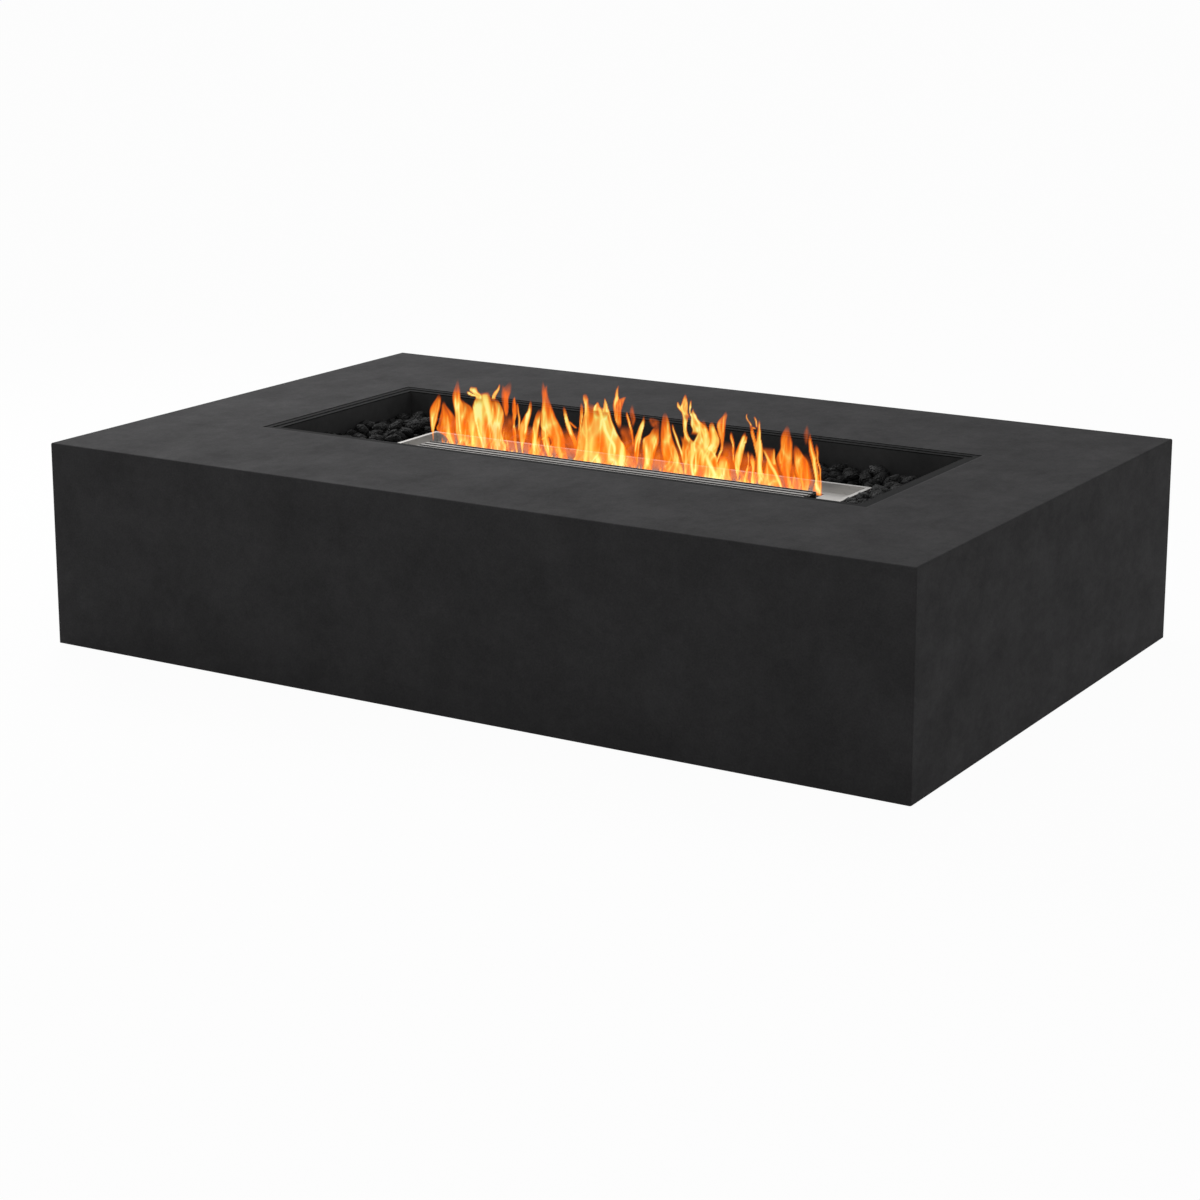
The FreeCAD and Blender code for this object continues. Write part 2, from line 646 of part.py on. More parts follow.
def main():
    """Build every piece and write it under its own name."""
    os.makedirs("parts", exist_ok=True)
    nodes = {
        "concrete_shell": concrete_shell(),
        "foot_soles": foot_soles(),
        "foot_pads": foot_pads(),
        "foot_stems": foot_stems(),
        "foot_lock_nuts": foot_lock_nuts(),
        "weld_bushes": weld_bushes(),
        "anchor_inserts": anchor_inserts(),
        "anchor_bolts": anchor_bolts(),
        "tray_floor": tray_floor(),
        "left_burner_cradle": burner_cradle(-CRADLE_X),
        "right_burner_cradle": burner_cradle(CRADLE_X),
        "burner_surround": burner_surround(),
        "burner_casing": burner_casing(),
        "fuel_tank": fuel_tank(),
        "burner_throat": burner_throat(),
        "tank_spacers": tank_spacers(),
        "flame_baffle": flame_baffle(),
        "slide_lid": slide_lid(),
        "rock_bed": rock_bed(),
    }
    nodes.update(tray_walls())
    nodes.update(tray_flanges())
    nodes.update(frame_rails())
    nodes.update(rock_zones())
    for name, shape in nodes.items():
        write(name, shape)


if __name__ == "__main__":
    main()
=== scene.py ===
"""Looks of a low fire pit table: cast concrete round a slot burner set in lava rock.

Metres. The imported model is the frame: its origin is on the floor under the middle of the
table, +X runs along the long side, +Y away from the long front face, +Z up.
"""

import logging
import math
from dataclasses import dataclass
from enum import Enum

import bpy
import numpy as np
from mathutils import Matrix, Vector

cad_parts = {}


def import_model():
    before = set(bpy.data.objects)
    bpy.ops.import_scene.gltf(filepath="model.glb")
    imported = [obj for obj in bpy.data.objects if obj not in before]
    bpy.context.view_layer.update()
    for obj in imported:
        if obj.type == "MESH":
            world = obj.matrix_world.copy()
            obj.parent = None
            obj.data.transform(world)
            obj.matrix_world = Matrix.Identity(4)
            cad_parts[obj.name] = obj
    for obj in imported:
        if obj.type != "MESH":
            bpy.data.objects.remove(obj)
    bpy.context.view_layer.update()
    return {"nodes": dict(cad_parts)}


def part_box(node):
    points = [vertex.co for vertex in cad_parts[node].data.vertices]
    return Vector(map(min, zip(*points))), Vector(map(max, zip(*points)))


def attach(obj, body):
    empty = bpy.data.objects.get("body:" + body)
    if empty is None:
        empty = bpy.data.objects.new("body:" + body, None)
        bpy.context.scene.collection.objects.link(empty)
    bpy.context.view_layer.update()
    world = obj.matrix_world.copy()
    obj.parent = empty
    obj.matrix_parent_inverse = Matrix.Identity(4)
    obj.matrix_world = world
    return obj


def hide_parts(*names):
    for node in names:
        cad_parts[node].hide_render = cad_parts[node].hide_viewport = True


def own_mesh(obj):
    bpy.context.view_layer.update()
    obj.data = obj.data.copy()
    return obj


LOG = logging.getLogger("fire_pit_table")
Pair = tuple[float, float]
Triple = tuple[float, float, float]
Colour = Triple
Socket = bpy.types.NodeSocket
BLACK: Colour = (0.0, 0.0, 0.0)
DECK_TOP = 0.298


class Graph:
    """A node tree with short ways to add a node, set its values and wire it up."""

    def __init__(self, tree: bpy.types.NodeTree) -> None:
        """Keep the tree that new nodes go into."""
        self.tree = tree

    def put(self, socket: Socket, value: object) -> None:
        """Give an input a value, or wire it to another node's output.

        Args:
            socket: the input.
            value: a number, a colour, or an output to wire from.
        """
        if isinstance(value, bpy.types.NodeSocket):
            self.tree.links.new(value, socket)
        elif socket.type == "RGBA" and len(value) == 3:
            socket.default_value = (*value, 1.0)
        else:
            socket.default_value = value

    def node(self, kind: str, inputs: dict[str, object] | None = None, **settings: object) -> bpy.types.Node:
        """Add a node.

        Args:
            kind: the node's type without its common first part.
            inputs: values or outputs by the input's name.
            settings: the node's own settings.

        Returns:
            The node.
        """
        made = self.tree.nodes.new("ShaderNode" + kind)
        for name, value in settings.items():
            setattr(made, name, value)
        for name, value in (inputs or {}).items():
            self.put(made.inputs[name], value)
        return made

    def noise(self, vector: Socket, scale: object, detail: float = 2.0, roughness: float = 0.5) -> Socket:
        """A soft noise from 0 to 1 over a vector."""
        inputs = {"Vector": vector, "Scale": scale, "Detail": detail, "Roughness": roughness}
        return self.node("TexNoise", inputs).outputs["Fac"]

    def math(self, operation: str, a: object, b: object = 0.0, clamp: bool = False) -> Socket:
        """A sum, product or other operation on two values.

        Args:
            operation: the node's name for it.
            a: the first value or output.
            b: the second value or output.
            clamp: whether the result is held between 0 and 1.

        Returns:
            The result's output.
        """
        made = self.node("Math", operation=operation, use_clamp=clamp)
        self.put(made.inputs[0], a)
        self.put(made.inputs[1], b)
        return made.outputs[0]

    def times(self, a: object, b: object) -> Socket:
        """The product of two values."""
        return self.math("MULTIPLY", a, b)

    def plus(self, a: object, b: object) -> Socket:
        """The sum of two values."""
        return self.math("ADD", a, b)

    def span(self, value: Socket, low: float, high: float, to_low: object = 0.0,
             to_high: object = 1.0) -> Socket:
        """Carry a value from the range low to high onto another range, and hold it there."""
        inputs = {"Value": value, "From Min": low, "From Max": high, "To Min": to_low, "To Max": to_high}
        return self.node("MapRange", inputs, clamp=True).outputs["Result"]

    def blend(self, factor: object, a: object, b: object, how: str = "MIX") -> Socket:
        """Mix two colours.

        Args:
            factor: the share of the second colour.
            a: the first colour.
            b: the second colour.
            how: the mixing rule.

        Returns:
            The mixed colour.
        """
        made = self.node("Mix", data_type="RGBA", blend_type=how)
        for place, value in ((0, factor), (6, a), (7, b)):
            self.put(made.inputs[place], value)
        return made.outputs[2]

    def stretched(self, vector: Socket, scale: Triple) -> Socket:
        """A vector scaled on each axis."""
        return self.node("Mapping", {"Vector": vector, "Scale": scale}).outputs[0]

    def axis(self, vector: Socket, name: str) -> Socket:
        """One axis of a vector."""
        return self.node("SeparateXYZ", {0: vector}).outputs[name]

    def bump(self, height: Socket, strength: float, distance: float) -> Socket:
        """A normal roughened by a height, in metres at full strength."""
        inputs = {"Height": height, "Strength": strength, "Distance": distance}
        return self.node("Bump", inputs).outputs["Normal"]


class Effect(Enum):
    """The shared surface effects, each one node group."""

    MOTTLE = "Mottled Casting"
    BRUSHED = "Brushed Grain"
    PORES = "Open Pores"
    DUST = "Settled Dust"


@dataclass(frozen=True)
class EffectShelf:
    """Builds each shared effect once and places it in a material with its own values."""

    cloud_share: float = 0.6
    cloud_range: Pair = (0.34, 0.66)
    line_range: Pair = (0.3, 0.7)
    smudge_scale: float = 24.0
    smudge_range: Pair = (0.35, 0.65)
    level_range: Pair = (0.2, 1.0)
    dust_range: Pair = (0.35, 0.7)

    def place(self, graph: Graph, effect: Effect, **values: object) -> bpy.types.NodeOutputs:
        """Put an effect into a material.

        Args:
            graph: the material's graph.
            effect: which effect.
            values: inputs by name, with an underscore for each space.

        Returns:
            The effect's outputs.
        """
        tree = bpy.data.node_groups.get(effect.value) or self.build(effect)
        made = graph.tree.nodes.new("ShaderNodeGroup")
        made.node_tree = tree
        for name, value in values.items():
            graph.put(made.inputs[name.replace("_", " ")], value)
        return made.outputs

    def build(self, effect: Effect) -> bpy.types.NodeTree:
        """Build an effect's group: its named sockets and then its nodes.

        Args:
            effect: which effect.

        Returns:
            The group.
        """
        makers = {
            Effect.MOTTLE: (self.mottle, ("Cloud Scale", "Patch Scale", "Grain Scale"), ("Clouds", "Grain")),
            Effect.BRUSHED: (self.brushed, ("Line Scale", "Line Length"), ("Lines", "Smudges")),
            Effect.PORES: (self.pores, ("Pore Scale", "Pore Size"), ("Mask", "Height")),
            Effect.DUST: (self.dust, ("Dust Scale", "Amount"), ("Mask",)),
        }
        maker, inputs, outputs = makers[effect]
        tree = bpy.data.node_groups.new(effect.value, "ShaderNodeTree")
        face = tree.interface
        face.new_socket("Vector", in_out="INPUT", socket_type="NodeSocketVector")
        for name in inputs:
            face.new_socket(name, in_out="INPUT", socket_type="NodeSocketFloat")
        for name in outputs:
            face.new_socket(name, in_out="OUTPUT", socket_type="NodeSocketFloat")
        graph = Graph(tree)
        source = tree.nodes.new("NodeGroupInput")
        sink = tree.nodes.new("NodeGroupOutput")
        for name, value in maker(graph, source.outputs).items():
            tree.links.new(value, sink.inputs[name])
        return tree

    def mottle(self, graph: Graph, given: bpy.types.NodeOutputs) -> dict[str, Socket]:
        """Large clouds with smaller patches inside them, and a fine even grain.

        Args:
            graph: the group's graph.
            given: the group's inputs by name.

        Returns:
            The group's outputs by name.
        """
        large = graph.noise(given["Vector"], given["Cloud Scale"], detail=3.0, roughness=0.55)
        small = graph.noise(given["Vector"], given["Patch Scale"], detail=5.0, roughness=0.65)
        clouds = graph.plus(graph.times(large, self.cloud_share), graph.times(small, 1 - self.cloud_share))
        grain = graph.noise(given["Vector"], given["Grain Scale"], detail=2.0, roughness=0.7)
        return {"Clouds": graph.span(clouds, *self.cloud_range), "Grain": grain}

    def brushed(self, graph: Graph, given: bpy.types.NodeOutputs) -> dict[str, Socket]:
        """Fine lines along X, drawn out by the line length, with soft smudges across them.

        Args:
            graph: the group's graph.
            given: the group's inputs by name.

        Returns:
            The group's outputs by name.
        """
        squeeze = graph.node("CombineXYZ", {"X": given["Line Length"], "Y": 1.0, "Z": 1.0}).outputs[0]
        along = graph.node("VectorMath", {0: given["Vector"]}, operation="MULTIPLY")
        graph.put(along.inputs[1], squeeze)
        lines = graph.noise(along.outputs[0], given["Line Scale"], detail=3.0, roughness=0.7)
        smudges = graph.noise(given["Vector"], self.smudge_scale, detail=3.0, roughness=0.55)
        return {"Lines": graph.span(lines, *self.line_range),
                "Smudges": graph.span(smudges, *self.smudge_range)}

    def pores(self, graph: Graph, given: bpy.types.NodeOutputs) -> dict[str, Socket]:
        """Round holes at the points of a cell pattern: the nearer the point, the deeper.

        Args:
            graph: the group's graph.
            given: the group's inputs by name.

        Returns:
            The group's outputs by name.
        """
        cells = graph.node("TexVoronoi", {"Vector": given["Vector"], "Scale": given["Pore Scale"]})
        deep = graph.math("DIVIDE", cells.outputs["Distance"], given["Pore Size"], clamp=True)
        return {"Mask": graph.math("SUBTRACT", 1.0, deep, clamp=True), "Height": deep}

    def dust(self, graph: Graph, given: bpy.types.NodeOutputs) -> dict[str, Socket]:
        """Dust on what faces up, broken by a noise.

        Args:
            graph: the group's graph.
            given: the group's inputs by name.

        Returns:
            The group's outputs by name.
        """
        facing = graph.axis(graph.node("NewGeometry").outputs["Normal"], "Z")
        cover = graph.times(graph.span(facing, *self.level_range), given["Amount"])
        noise = graph.noise(given["Vector"], given["Dust Scale"], detail=4.0, roughness=0.65)
        return {"Mask": graph.math("MULTIPLY", cover, graph.span(noise, *self.dust_range), clamp=True)}


SHELF = EffectShelf()


@dataclass(frozen=True)
class Finish:
    """A finish: its name, the record's slot it answers to, and its plain values."""

    name: str
    slot: str
    colour: Colour
    roughness: float
    specular: float = 0.5
    metal: float = 0.0

    def material(self) -> bpy.types.Material:
        """The finish as a material, built the first time it is asked for.

        Returns:
            The material.
        """
        known = bpy.data.materials.get(self.name)
        if known is not None:
            return known
        made = bpy.data.materials.new(self.name)
        made.use_nodes = True
        made.diffuse_color = (*self.colour, 1.0)
        graph = Graph(made.node_tree)
        shader = made.node_tree.nodes["Principled BSDF"]
        shader.inputs["Base Color"].default_value = (*self.colour, 1.0)
        shader.inputs["Roughness"].default_value = self.roughness
        shader.inputs["Specular IOR Level"].default_value = self.specular
        shader.inputs["Metallic"].default_value = self.metal
        self.dress(graph, shader.inputs, graph.node("TexCoord").outputs["Object"])
        return made

    def dress(self, graph: Graph, skin: bpy.types.NodeInputs, place: Socket) -> None:
        """Add the finish's own pattern to its shader. A plain finish adds none."""

    def shade(self, share: float) -> Colour:
        """The finish's colour made lighter or darker by a share."""
        return tuple(min(1.0, part * share) for part in self.colour)

    def put_on(self, piece: bpy.types.Object) -> None:
        """Dress a piece with the finish's material.

        Args:
            piece: a node of the frame or a new piece.
        """
        if piece.material_slots:
            piece.material_slots[0].material = self.material()
        else:
            piece.data.materials.append(self.material())


@dataclass(frozen=True)
class Mottled(Finish):
    """A cloudy skin with a fine grain.

    Scales are those of the clouds, the patches in them and the grain. Tones are the shares of the
    colour where the clouds are darkest and palest, and uneven is what they add to the roughness
    there. Relief is the bump's strength and its depth in metres.
    """

    scales: Triple = (60.0, 220.0, 900.0)
    drawn: Triple = (1.0, 1.0, 1.0)
    tones: Pair = (0.75, 1.15)
    uneven: Pair = (0.0, 0.0)
    relief: Pair = (0.0, 0.0)

    def dress(self, graph: Graph, skin: bpy.types.NodeInputs, place: Socket) -> None:
        """Clouds in the tone and the roughness, the finish's own marks, and a bump.

        Args:
            graph: the material's graph.
            skin: the inputs of its Principled shader.
            place: the piece's own coordinates.
        """
        cloud, patch, grain = self.scales
        pattern = SHELF.place(graph, Effect.MOTTLE, Vector=graph.stretched(place, self.drawn),
                              Cloud_Scale=cloud, Patch_Scale=patch, Grain_Scale=grain)
        clouds = pattern["Clouds"]
        tone = graph.blend(clouds, self.shade(self.tones[0]), self.shade(self.tones[1]))
        tone, height = self.mark(graph, place, tone, clouds, pattern["Grain"])
        graph.put(skin["Base Color"], tone)
        if any(self.uneven):
            dark, pale = (self.roughness + part for part in self.uneven)
            graph.put(skin["Roughness"], graph.span(clouds, 0.0, 1.0, dark, pale))
        if any(self.relief):
            graph.put(skin["Normal"], graph.bump(height, *self.relief))

    def mark(self, graph: Graph, place: Socket, tone: Socket, clouds: Socket,
             grain: Socket) -> tuple[Socket, Socket]:
        """The tone with the finish's own marks, and the height for the bump. A plain skin has none."""
        return tone, grain


@dataclass(frozen=True)
class CastConcrete(Mottled):
    """Sealed graphite concrete: soft clouds, a fine grain, a few tiny pinholes and a painted highlight round
    the opening.
    """

    scales: Triple = (11.0, 58.0, 300.0)
    drawn: Triple = (1.0, 0.75, 1.0)
    tones: Pair = (0.87, 1.15)
    uneven: Pair = (0.05, -0.07)
    relief: Pair = (0.25, 0.0006)
    opening: Pair = (0.597, 0.224)
    # Painted highlight round the opening: its width, its soft edge's span as shares of the width, its tone
    # and its share.
    edge: float = 0.003
    highlight_span: Pair = (0.4, 0.7)
    highlight_tone: float = 1.9
    highlight_share: float = 0.35
    grain_range: Pair = (0.3, 0.7)
    grain_share: float = 0.2
    grain_height: float = 0.35
    pore_scale: float = 95.0
    pore_size: float = 0.11
    pore_tone: float = 0.4
    pore_share: float = 0.5

    def edge_highlight(self, graph: Graph, place: Socket) -> Socket:
        """1 on the painted highlight round the opening, which is as wide as the edge, else 0.

        Args:
            graph: the material's graph.
            place: the piece's own coordinates.

        Returns:
            The mask.
        """
        across = [graph.math("SUBTRACT", graph.math("ABSOLUTE", graph.axis(place, axis)), half)
                  for axis, half in zip("XY", self.opening)]
        away = graph.math("SUBTRACT", graph.math("MAXIMUM", *across), self.edge / 2)
        inner, outer = (self.edge * share for share in self.highlight_span)
        return graph.span(graph.math("ABSOLUTE", away), inner, outer, 1.0, 0.0)

    def mark(self, graph: Graph, place: Socket, tone: Socket, clouds: Socket,
             grain: Socket) -> tuple[Socket, Socket]:
        """The painted highlight round the opening, the grain's dark specks and the pinholes.

        Args:
            graph: the material's graph.
            place: the piece's own coordinates.
            tone: the cloudy tone.
            clouds: the clouds, from 0 to 1.
            grain: the grain, from 0 to 1.

        Returns:
            The tone and the bump's height.
        """
        pores = SHELF.place(graph, Effect.PORES, Vector=place, Pore_Scale=self.pore_scale,
                            Pore_Size=self.pore_size)
        # Painted highlight: a paler band round the opening's edge, where the rounded arris catches light.
        edge = graph.times(self.edge_highlight(graph, place), self.highlight_share)
        tone = graph.blend(edge, tone, self.shade(self.highlight_tone))
        tone = graph.blend(graph.span(grain, *self.grain_range),
                           graph.blend(self.grain_share, tone, BLACK), tone)
        tone = graph.blend(graph.times(pores["Mask"], self.pore_share), tone, self.shade(self.pore_tone))
        return tone, graph.plus(graph.times(grain, self.grain_height), pores["Height"])


@dataclass(frozen=True)
class PowderCoat(Mottled):
    """Fine-textured black coating on steel, with a little settled dust."""

    scales: Triple = (9.0, 60.0, 900.0)
    tones: Pair = (0.8, 1.25)
    uneven: Pair = (-0.06, 0.06)
    relief: Pair = (0.2, 0.0002)
    dust: float = 0.25
    dust_scale: float = 70.0
    dust_colour: Colour = (0.075, 0.072, 0.068)

    def mark(self, graph: Graph, place: Socket, tone: Socket, clouds: Socket,
             grain: Socket) -> tuple[Socket, Socket]:
        """Dust on level faces, over the tone."""
        dust = SHELF.place(graph, Effect.DUST, Vector=place, Dust_Scale=self.dust_scale, Amount=self.dust)
        return graph.blend(dust["Mask"], tone, self.dust_colour), grain


@dataclass(frozen=True)
class Lava(Mottled):
    """Black lava rock: open pores, a rough skin, painted glint points and painted shade low down.

    The painted shade is full at the first of its two heights and gone at the second.
    """

    scales: Triple = (45.0, 150.0, 380.0)
    tones: Pair = (0.2, 1.9)
    uneven: Pair = (0.12, -0.16)
    relief: Pair = (0.8, 0.003)
    pore_scale: float = 190.0
    pore_size: float = 0.5
    pore_tone: float = 0.15
    pore_share: float = 0.8
    # Painted glints: bright points in the colour where the grain is in this range, at this tone.
    glint_range: Pair = (0.6, 0.7)
    glint_tone: float = 10.0
    # Painted shade: black low down between the stones, full at the first height and gone at the second, at
    # this share.
    speck_soot_and_low_shade: Pair = (0.309, 0.336)
    low_shade_share: float = 0.97
    grain_height: float = 0.6
    cloud_height: float = 0.8

    def mark(self, graph: Graph, place: Socket, tone: Socket, clouds: Socket,
             grain: Socket) -> tuple[Socket, Socket]:
        """Painted glint points, pores and painted shade low down between the stones.

        Args:
            graph: the material's graph.
            place: the piece's own coordinates.
            tone: the cloudy tone.
            clouds: the clouds, from 0 to 1.
            grain: the grain, from 0 to 1.

        Returns:
            The tone and the bump's height.
        """
        pores = SHELF.place(graph, Effect.PORES, Vector=place, Pore_Scale=self.pore_scale,
                            Pore_Size=self.pore_size)
        # Painted glints: bright points put into the colour.
        tone = graph.blend(graph.span(grain, *self.glint_range), tone, self.shade(self.glint_tone))
        tone = graph.blend(graph.times(pores["Mask"], self.pore_share), tone, self.shade(self.pore_tone))
        # Painted shade: the colour goes to black low down between the stones, where shade falls.
        soot_and_shade = graph.span(graph.axis(place, "Z"), *self.speck_soot_and_low_shade, self.low_shade_share, 0.0)
        skin = graph.plus(graph.times(grain, self.grain_height), pores["Height"])
        return graph.blend(soot_and_shade, tone, BLACK), graph.plus(skin, graph.times(clouds, self.cloud_height))


@dataclass(frozen=True)
class BrushedSteel(Finish):
    """Stainless sheet brushed along the burner, with faint heat tint and smudges.

    Grooves are the middles, across the burner, of lengthwise channels, each with a dark stripe of painted
    shade.
    """

    line_length: float = 0.03
    line_scale: float = 1400.0
    contrast: float = 0.1
    tint: float = 0.12
    tint_shift: Triple = (1.02, 0.9, 0.78)
    # Painted shade: upright faces keep this share of the colour, over this span of facing.
    walls: float = 0.92
    wall_shade_range: Pair = (0.2, 0.8)
    speck_scale: float = 46.0
    speck_size: float = 0.13
    # Soot specks: how dark they go, and the tone that the specks and the painted groove stripes take.
    speck_soot_and_low_shade: float = 0.6
    soot_and_stripe_tone: float = 0.12
    grooves: tuple[float, ...] = ()
    groove_half: float = 0.0046
    groove_core: float = 0.4
    uneven: Pair = (-0.05, 0.08)
    smudge_dull: float = 0.08
    relief: Pair = (0.12, 0.0002)

    def sheet(self, graph: Graph, lines: Socket, smudges: Socket) -> Socket:
        """The bare sheet's tone: lines, warm smudges, and painted shade that makes walls darker than level
        faces.

        Args:
            graph: the material's graph.
            lines: the brushed lines, from 0 to 1.
            smudges: the smudges, from 0 to 1.

        Returns:
            The tone.
        """
        tone = graph.blend(lines, self.shade(1 - self.contrast), self.shade(1 + self.contrast))
        warm = tuple(part * shift for part, shift in zip(self.colour, self.tint_shift))
        tone = graph.blend(graph.times(smudges, self.tint), tone, warm)
        # Painted shade: upright faces are made darker than level ones.
        facing = graph.axis(graph.node("NewGeometry").outputs["True Normal"], "Z")
        wall_shade = graph.span(facing, *self.wall_shade_range, 1.0, 0.0)
        return graph.blend(wall_shade, tone, graph.blend(1.0, tone, (self.walls,) * 3, "MULTIPLY"))

    def soot_and_shade(self, graph: Graph, place: Socket) -> Socket:
        """How black the sheet is: soot specks all over, and a painted dark stripe of shade in each groove.

        Args:
            graph: the material's graph.
            place: the piece's own coordinates.

        Returns:
            The share of soot and painted shade, from 0 to 1.
        """
        specks = SHELF.place(graph, Effect.PORES, Vector=place, Pore_Scale=self.speck_scale,
                             Pore_Size=self.speck_size)
        dark = graph.times(specks["Mask"], self.speck_soot_and_low_shade)
        across = graph.axis(place, "Y")
        core = self.groove_half * self.groove_core
        # Painted shade: a dark stripe down the middle of each groove.
        for middle in self.grooves:
            apart = graph.math("ABSOLUTE", graph.math("SUBTRACT", across, middle))
            dark = graph.math("MAXIMUM", dark, graph.span(apart, core, self.groove_half, 1.0, 0.0))
        return dark

    def dress(self, graph: Graph, skin: bpy.types.NodeInputs, place: Socket) -> None:
        """Brushed lines in colour, roughness and bump, with smudges, soot specks, and painted shade on walls
        and in grooves.

        Args:
            graph: the material's graph.
            skin: the inputs of its Principled shader.
            place: the piece's own coordinates.
        """
        grain = SHELF.place(graph, Effect.BRUSHED, Vector=place, Line_Scale=self.line_scale,
                            Line_Length=self.line_length)
        lines, smudges = grain["Lines"], grain["Smudges"]
        graph.put(skin["Base Color"], graph.blend(self.soot_and_shade(graph, place), self.sheet(graph, lines, smudges),
                                                  self.shade(self.soot_and_stripe_tone)))
        smooth, dull = (self.roughness + part for part in self.uneven)
        rough = graph.span(lines, 0.0, 1.0, smooth, dull)
        graph.put(skin["Roughness"], graph.plus(rough, graph.times(smudges, self.smudge_dull)))
        graph.put(skin["Normal"], graph.bump(lines, *self.relief))


FLAME_COLOURS: dict[float, Colour] = {
    0.0: (0.50, 0.085, 0.012), 0.2: (0.80, 0.125, 0.008), 0.4: (0.98, 0.20, 0.008),
    0.55: (1.0, 0.31, 0.03), 0.7: (1.0, 0.48, 0.08), 0.85: (1.0, 0.72, 0.14), 1.0: (1.0, 0.93, 0.32),
}


@dataclass(frozen=True)
class FlameGlow(Finish):
    """Burning vapour: light of its own, from dull red to pale yellow, over what shows through."""

    veiling: float = 0.6

    def dress(self, graph: Graph, skin: bpy.types.NodeInputs, place: Socket) -> None:
        """The mesh's heat gives the colour, and its cover how much is hidden behind it.

        Args:
            graph: the material's graph.
            skin: the inputs of its Principled shader.
            place: the piece's own coordinates, which flames don't use.
        """
        heat = graph.node("Attribute", attribute_name="flame_heat").outputs["Fac"]
        cover = graph.node("Attribute", attribute_name="flame_cover").outputs["Fac"]
        ramp = graph.node("ValToRGB", {"Fac": heat})
        stops = ramp.color_ramp.elements
        stops.remove(stops[1])
        for spot, colour in FLAME_COLOURS.items():
            stop = stops.new(spot) if spot else stops[0]
            stop.color = (*colour, 1.0)
        graph.put(skin["Emission Color"], ramp.outputs["Color"])
        skin["Emission Strength"].default_value = 1 / self.veiling
        graph.put(skin["Alpha"], graph.times(cover, self.veiling))


CONCRETE = CastConcrete("cast_concrete", "concrete", (0.0575, 0.0565, 0.058), 0.82, 0.08)
# Painted light: the tray's walls, floor and cradles take a paler copy of the flanges' black coating, standing
# in for light in the pit.
LIGHTENED_TRAY_COAT = PowderCoat("tray_coating_lightened", "tray_black", (0.078, 0.078, 0.0785), 0.62, 0.1, dust=0.05)
FLANGE_COAT = PowderCoat("flange_coating", "tray_black", (0.028, 0.028, 0.0284), 0.7, 0.02, dust=0.0)
FRAME_COAT = PowderCoat("frame_coating", "frame_black", (0.02, 0.02, 0.02), 0.5, 0.4)
STAINLESS = BrushedSteel("brushed_stainless", "stainless", (0.59, 0.578, 0.562), 0.4, 0.5, 0.7, walls=0.86)
# Painted shade: the lid is a darker copy of the same stainless, with much darker walls and painted dark
# stripes in its grooves.
SHADED_LID_STEEL = BrushedSteel("lid_stainless_shaded", "stainless", (0.37, 0.357, 0.346), 0.34, 0.5, 0.9,
                         line_scale=150.0, contrast=0.25, walls=0.3, grooves=(0.024, -0.008))
LAVA = Lava("lava_rock", "lava", (0.0135, 0.0135, 0.0137), 0.38, 0.06)
ZINC = Mottled("zinc_plate", "zinc", (0.5, 0.5, 0.5), 0.42, 0.5, 1.0, uneven=(-0.06, 0.1))
RUBBER = Mottled("sole_rubber", "rubber", (0.02, 0.02, 0.02), 0.85, 0.3, scales=(40.0, 180.0, 1200.0),
                 tones=(0.8, 1.3), relief=(0.3, 0.0003))
FLAME = FlameGlow("burning_vapour", "", BLACK, 1.0, 0.0)


def ease(value: np.ndarray) -> np.ndarray:
    """A soft step from 0 to 1: v * v * (3 - 2 v) of the value held between 0 and 1."""
    held = np.clip(value, 0, 1)
    return held * held * (3 - 2 * held)


def value_noise(u: np.ndarray, v: np.ndarray, seed: int, cells: int = 64) -> np.ndarray:
    """Smooth noise from 0 to 1: random values on a square lattice, eased between its points.

    Args:
        u: the places along the lattice's rows.
        v: the places along its columns.
        seed: the seed of its values.
        cells: how many cells it has each way before it repeats.

    Returns:
        The noise at each place.
    """
    lattice = np.random.default_rng(seed).random((cells, cells))
    i, j = np.floor(u).astype(int), np.floor(v).astype(int)
    f, g = ease(u - i), ease(v - j)
    near = lattice[i % cells, j % cells] * (1 - f) + lattice[(i + 1) % cells, j % cells] * f
    far = lattice[i % cells, (j + 1) % cells] * (1 - f) + lattice[(i + 1) % cells, (j + 1) % cells] * f
    return near * (1 - g) + far * g


def mesh_piece(name: str, points: np.ndarray, *faces: np.ndarray) -> bpy.types.Object:
    """Put arrays into a mesh whose object sits at the origin.

    Args:
        name: the piece's name.
        points: an array of corners, one row each.
        faces: arrays of corner numbers, one row a face, each array of one number of corners.

    Returns:
        The piece, in the scene.
    """
    mesh = bpy.data.meshes.new(name)
    mesh.vertices.add(len(points))
    mesh.vertices.foreach_set("co", np.ascontiguousarray(points, np.float32).ravel())
    sizes = np.concatenate([np.full(len(rows), rows.shape[1]) for rows in faces])
    corners = np.concatenate([rows.ravel() for rows in faces])
    mesh.loops.add(len(corners))
    mesh.loops.foreach_set("vertex_index", corners.astype(np.int32))
    mesh.polygons.add(len(sizes))
    mesh.polygons.foreach_set("loop_start", (np.cumsum(sizes) - sizes).astype(np.int32))
    mesh.update(calc_edges=True)
    mesh.validate()
    piece = bpy.data.objects.new(name, mesh)
    bpy.context.scene.collection.objects.link(piece)
    return piece


def hold(points: np.ndarray, low: Vector, high: Vector, margin: float) -> None:
    """Hold points inside an upright box's four walls, in place.

    Args:
        points: an array whose last axis is x, y, z.
        low: the box's lowest corner.
        high: its highest corner.
        margin: how far inside the walls the points stay; below nought, how far outside they may go.
    """
    for axis in (0, 1):
        points[..., axis] = np.clip(points[..., axis], low[axis] + margin, high[axis] - margin)


class Break(Enum):
    """How sharply the rock breaks: the power of the norm that rounds its facets."""

    TUMBLED = 7.0
    ANGULAR = 22.0


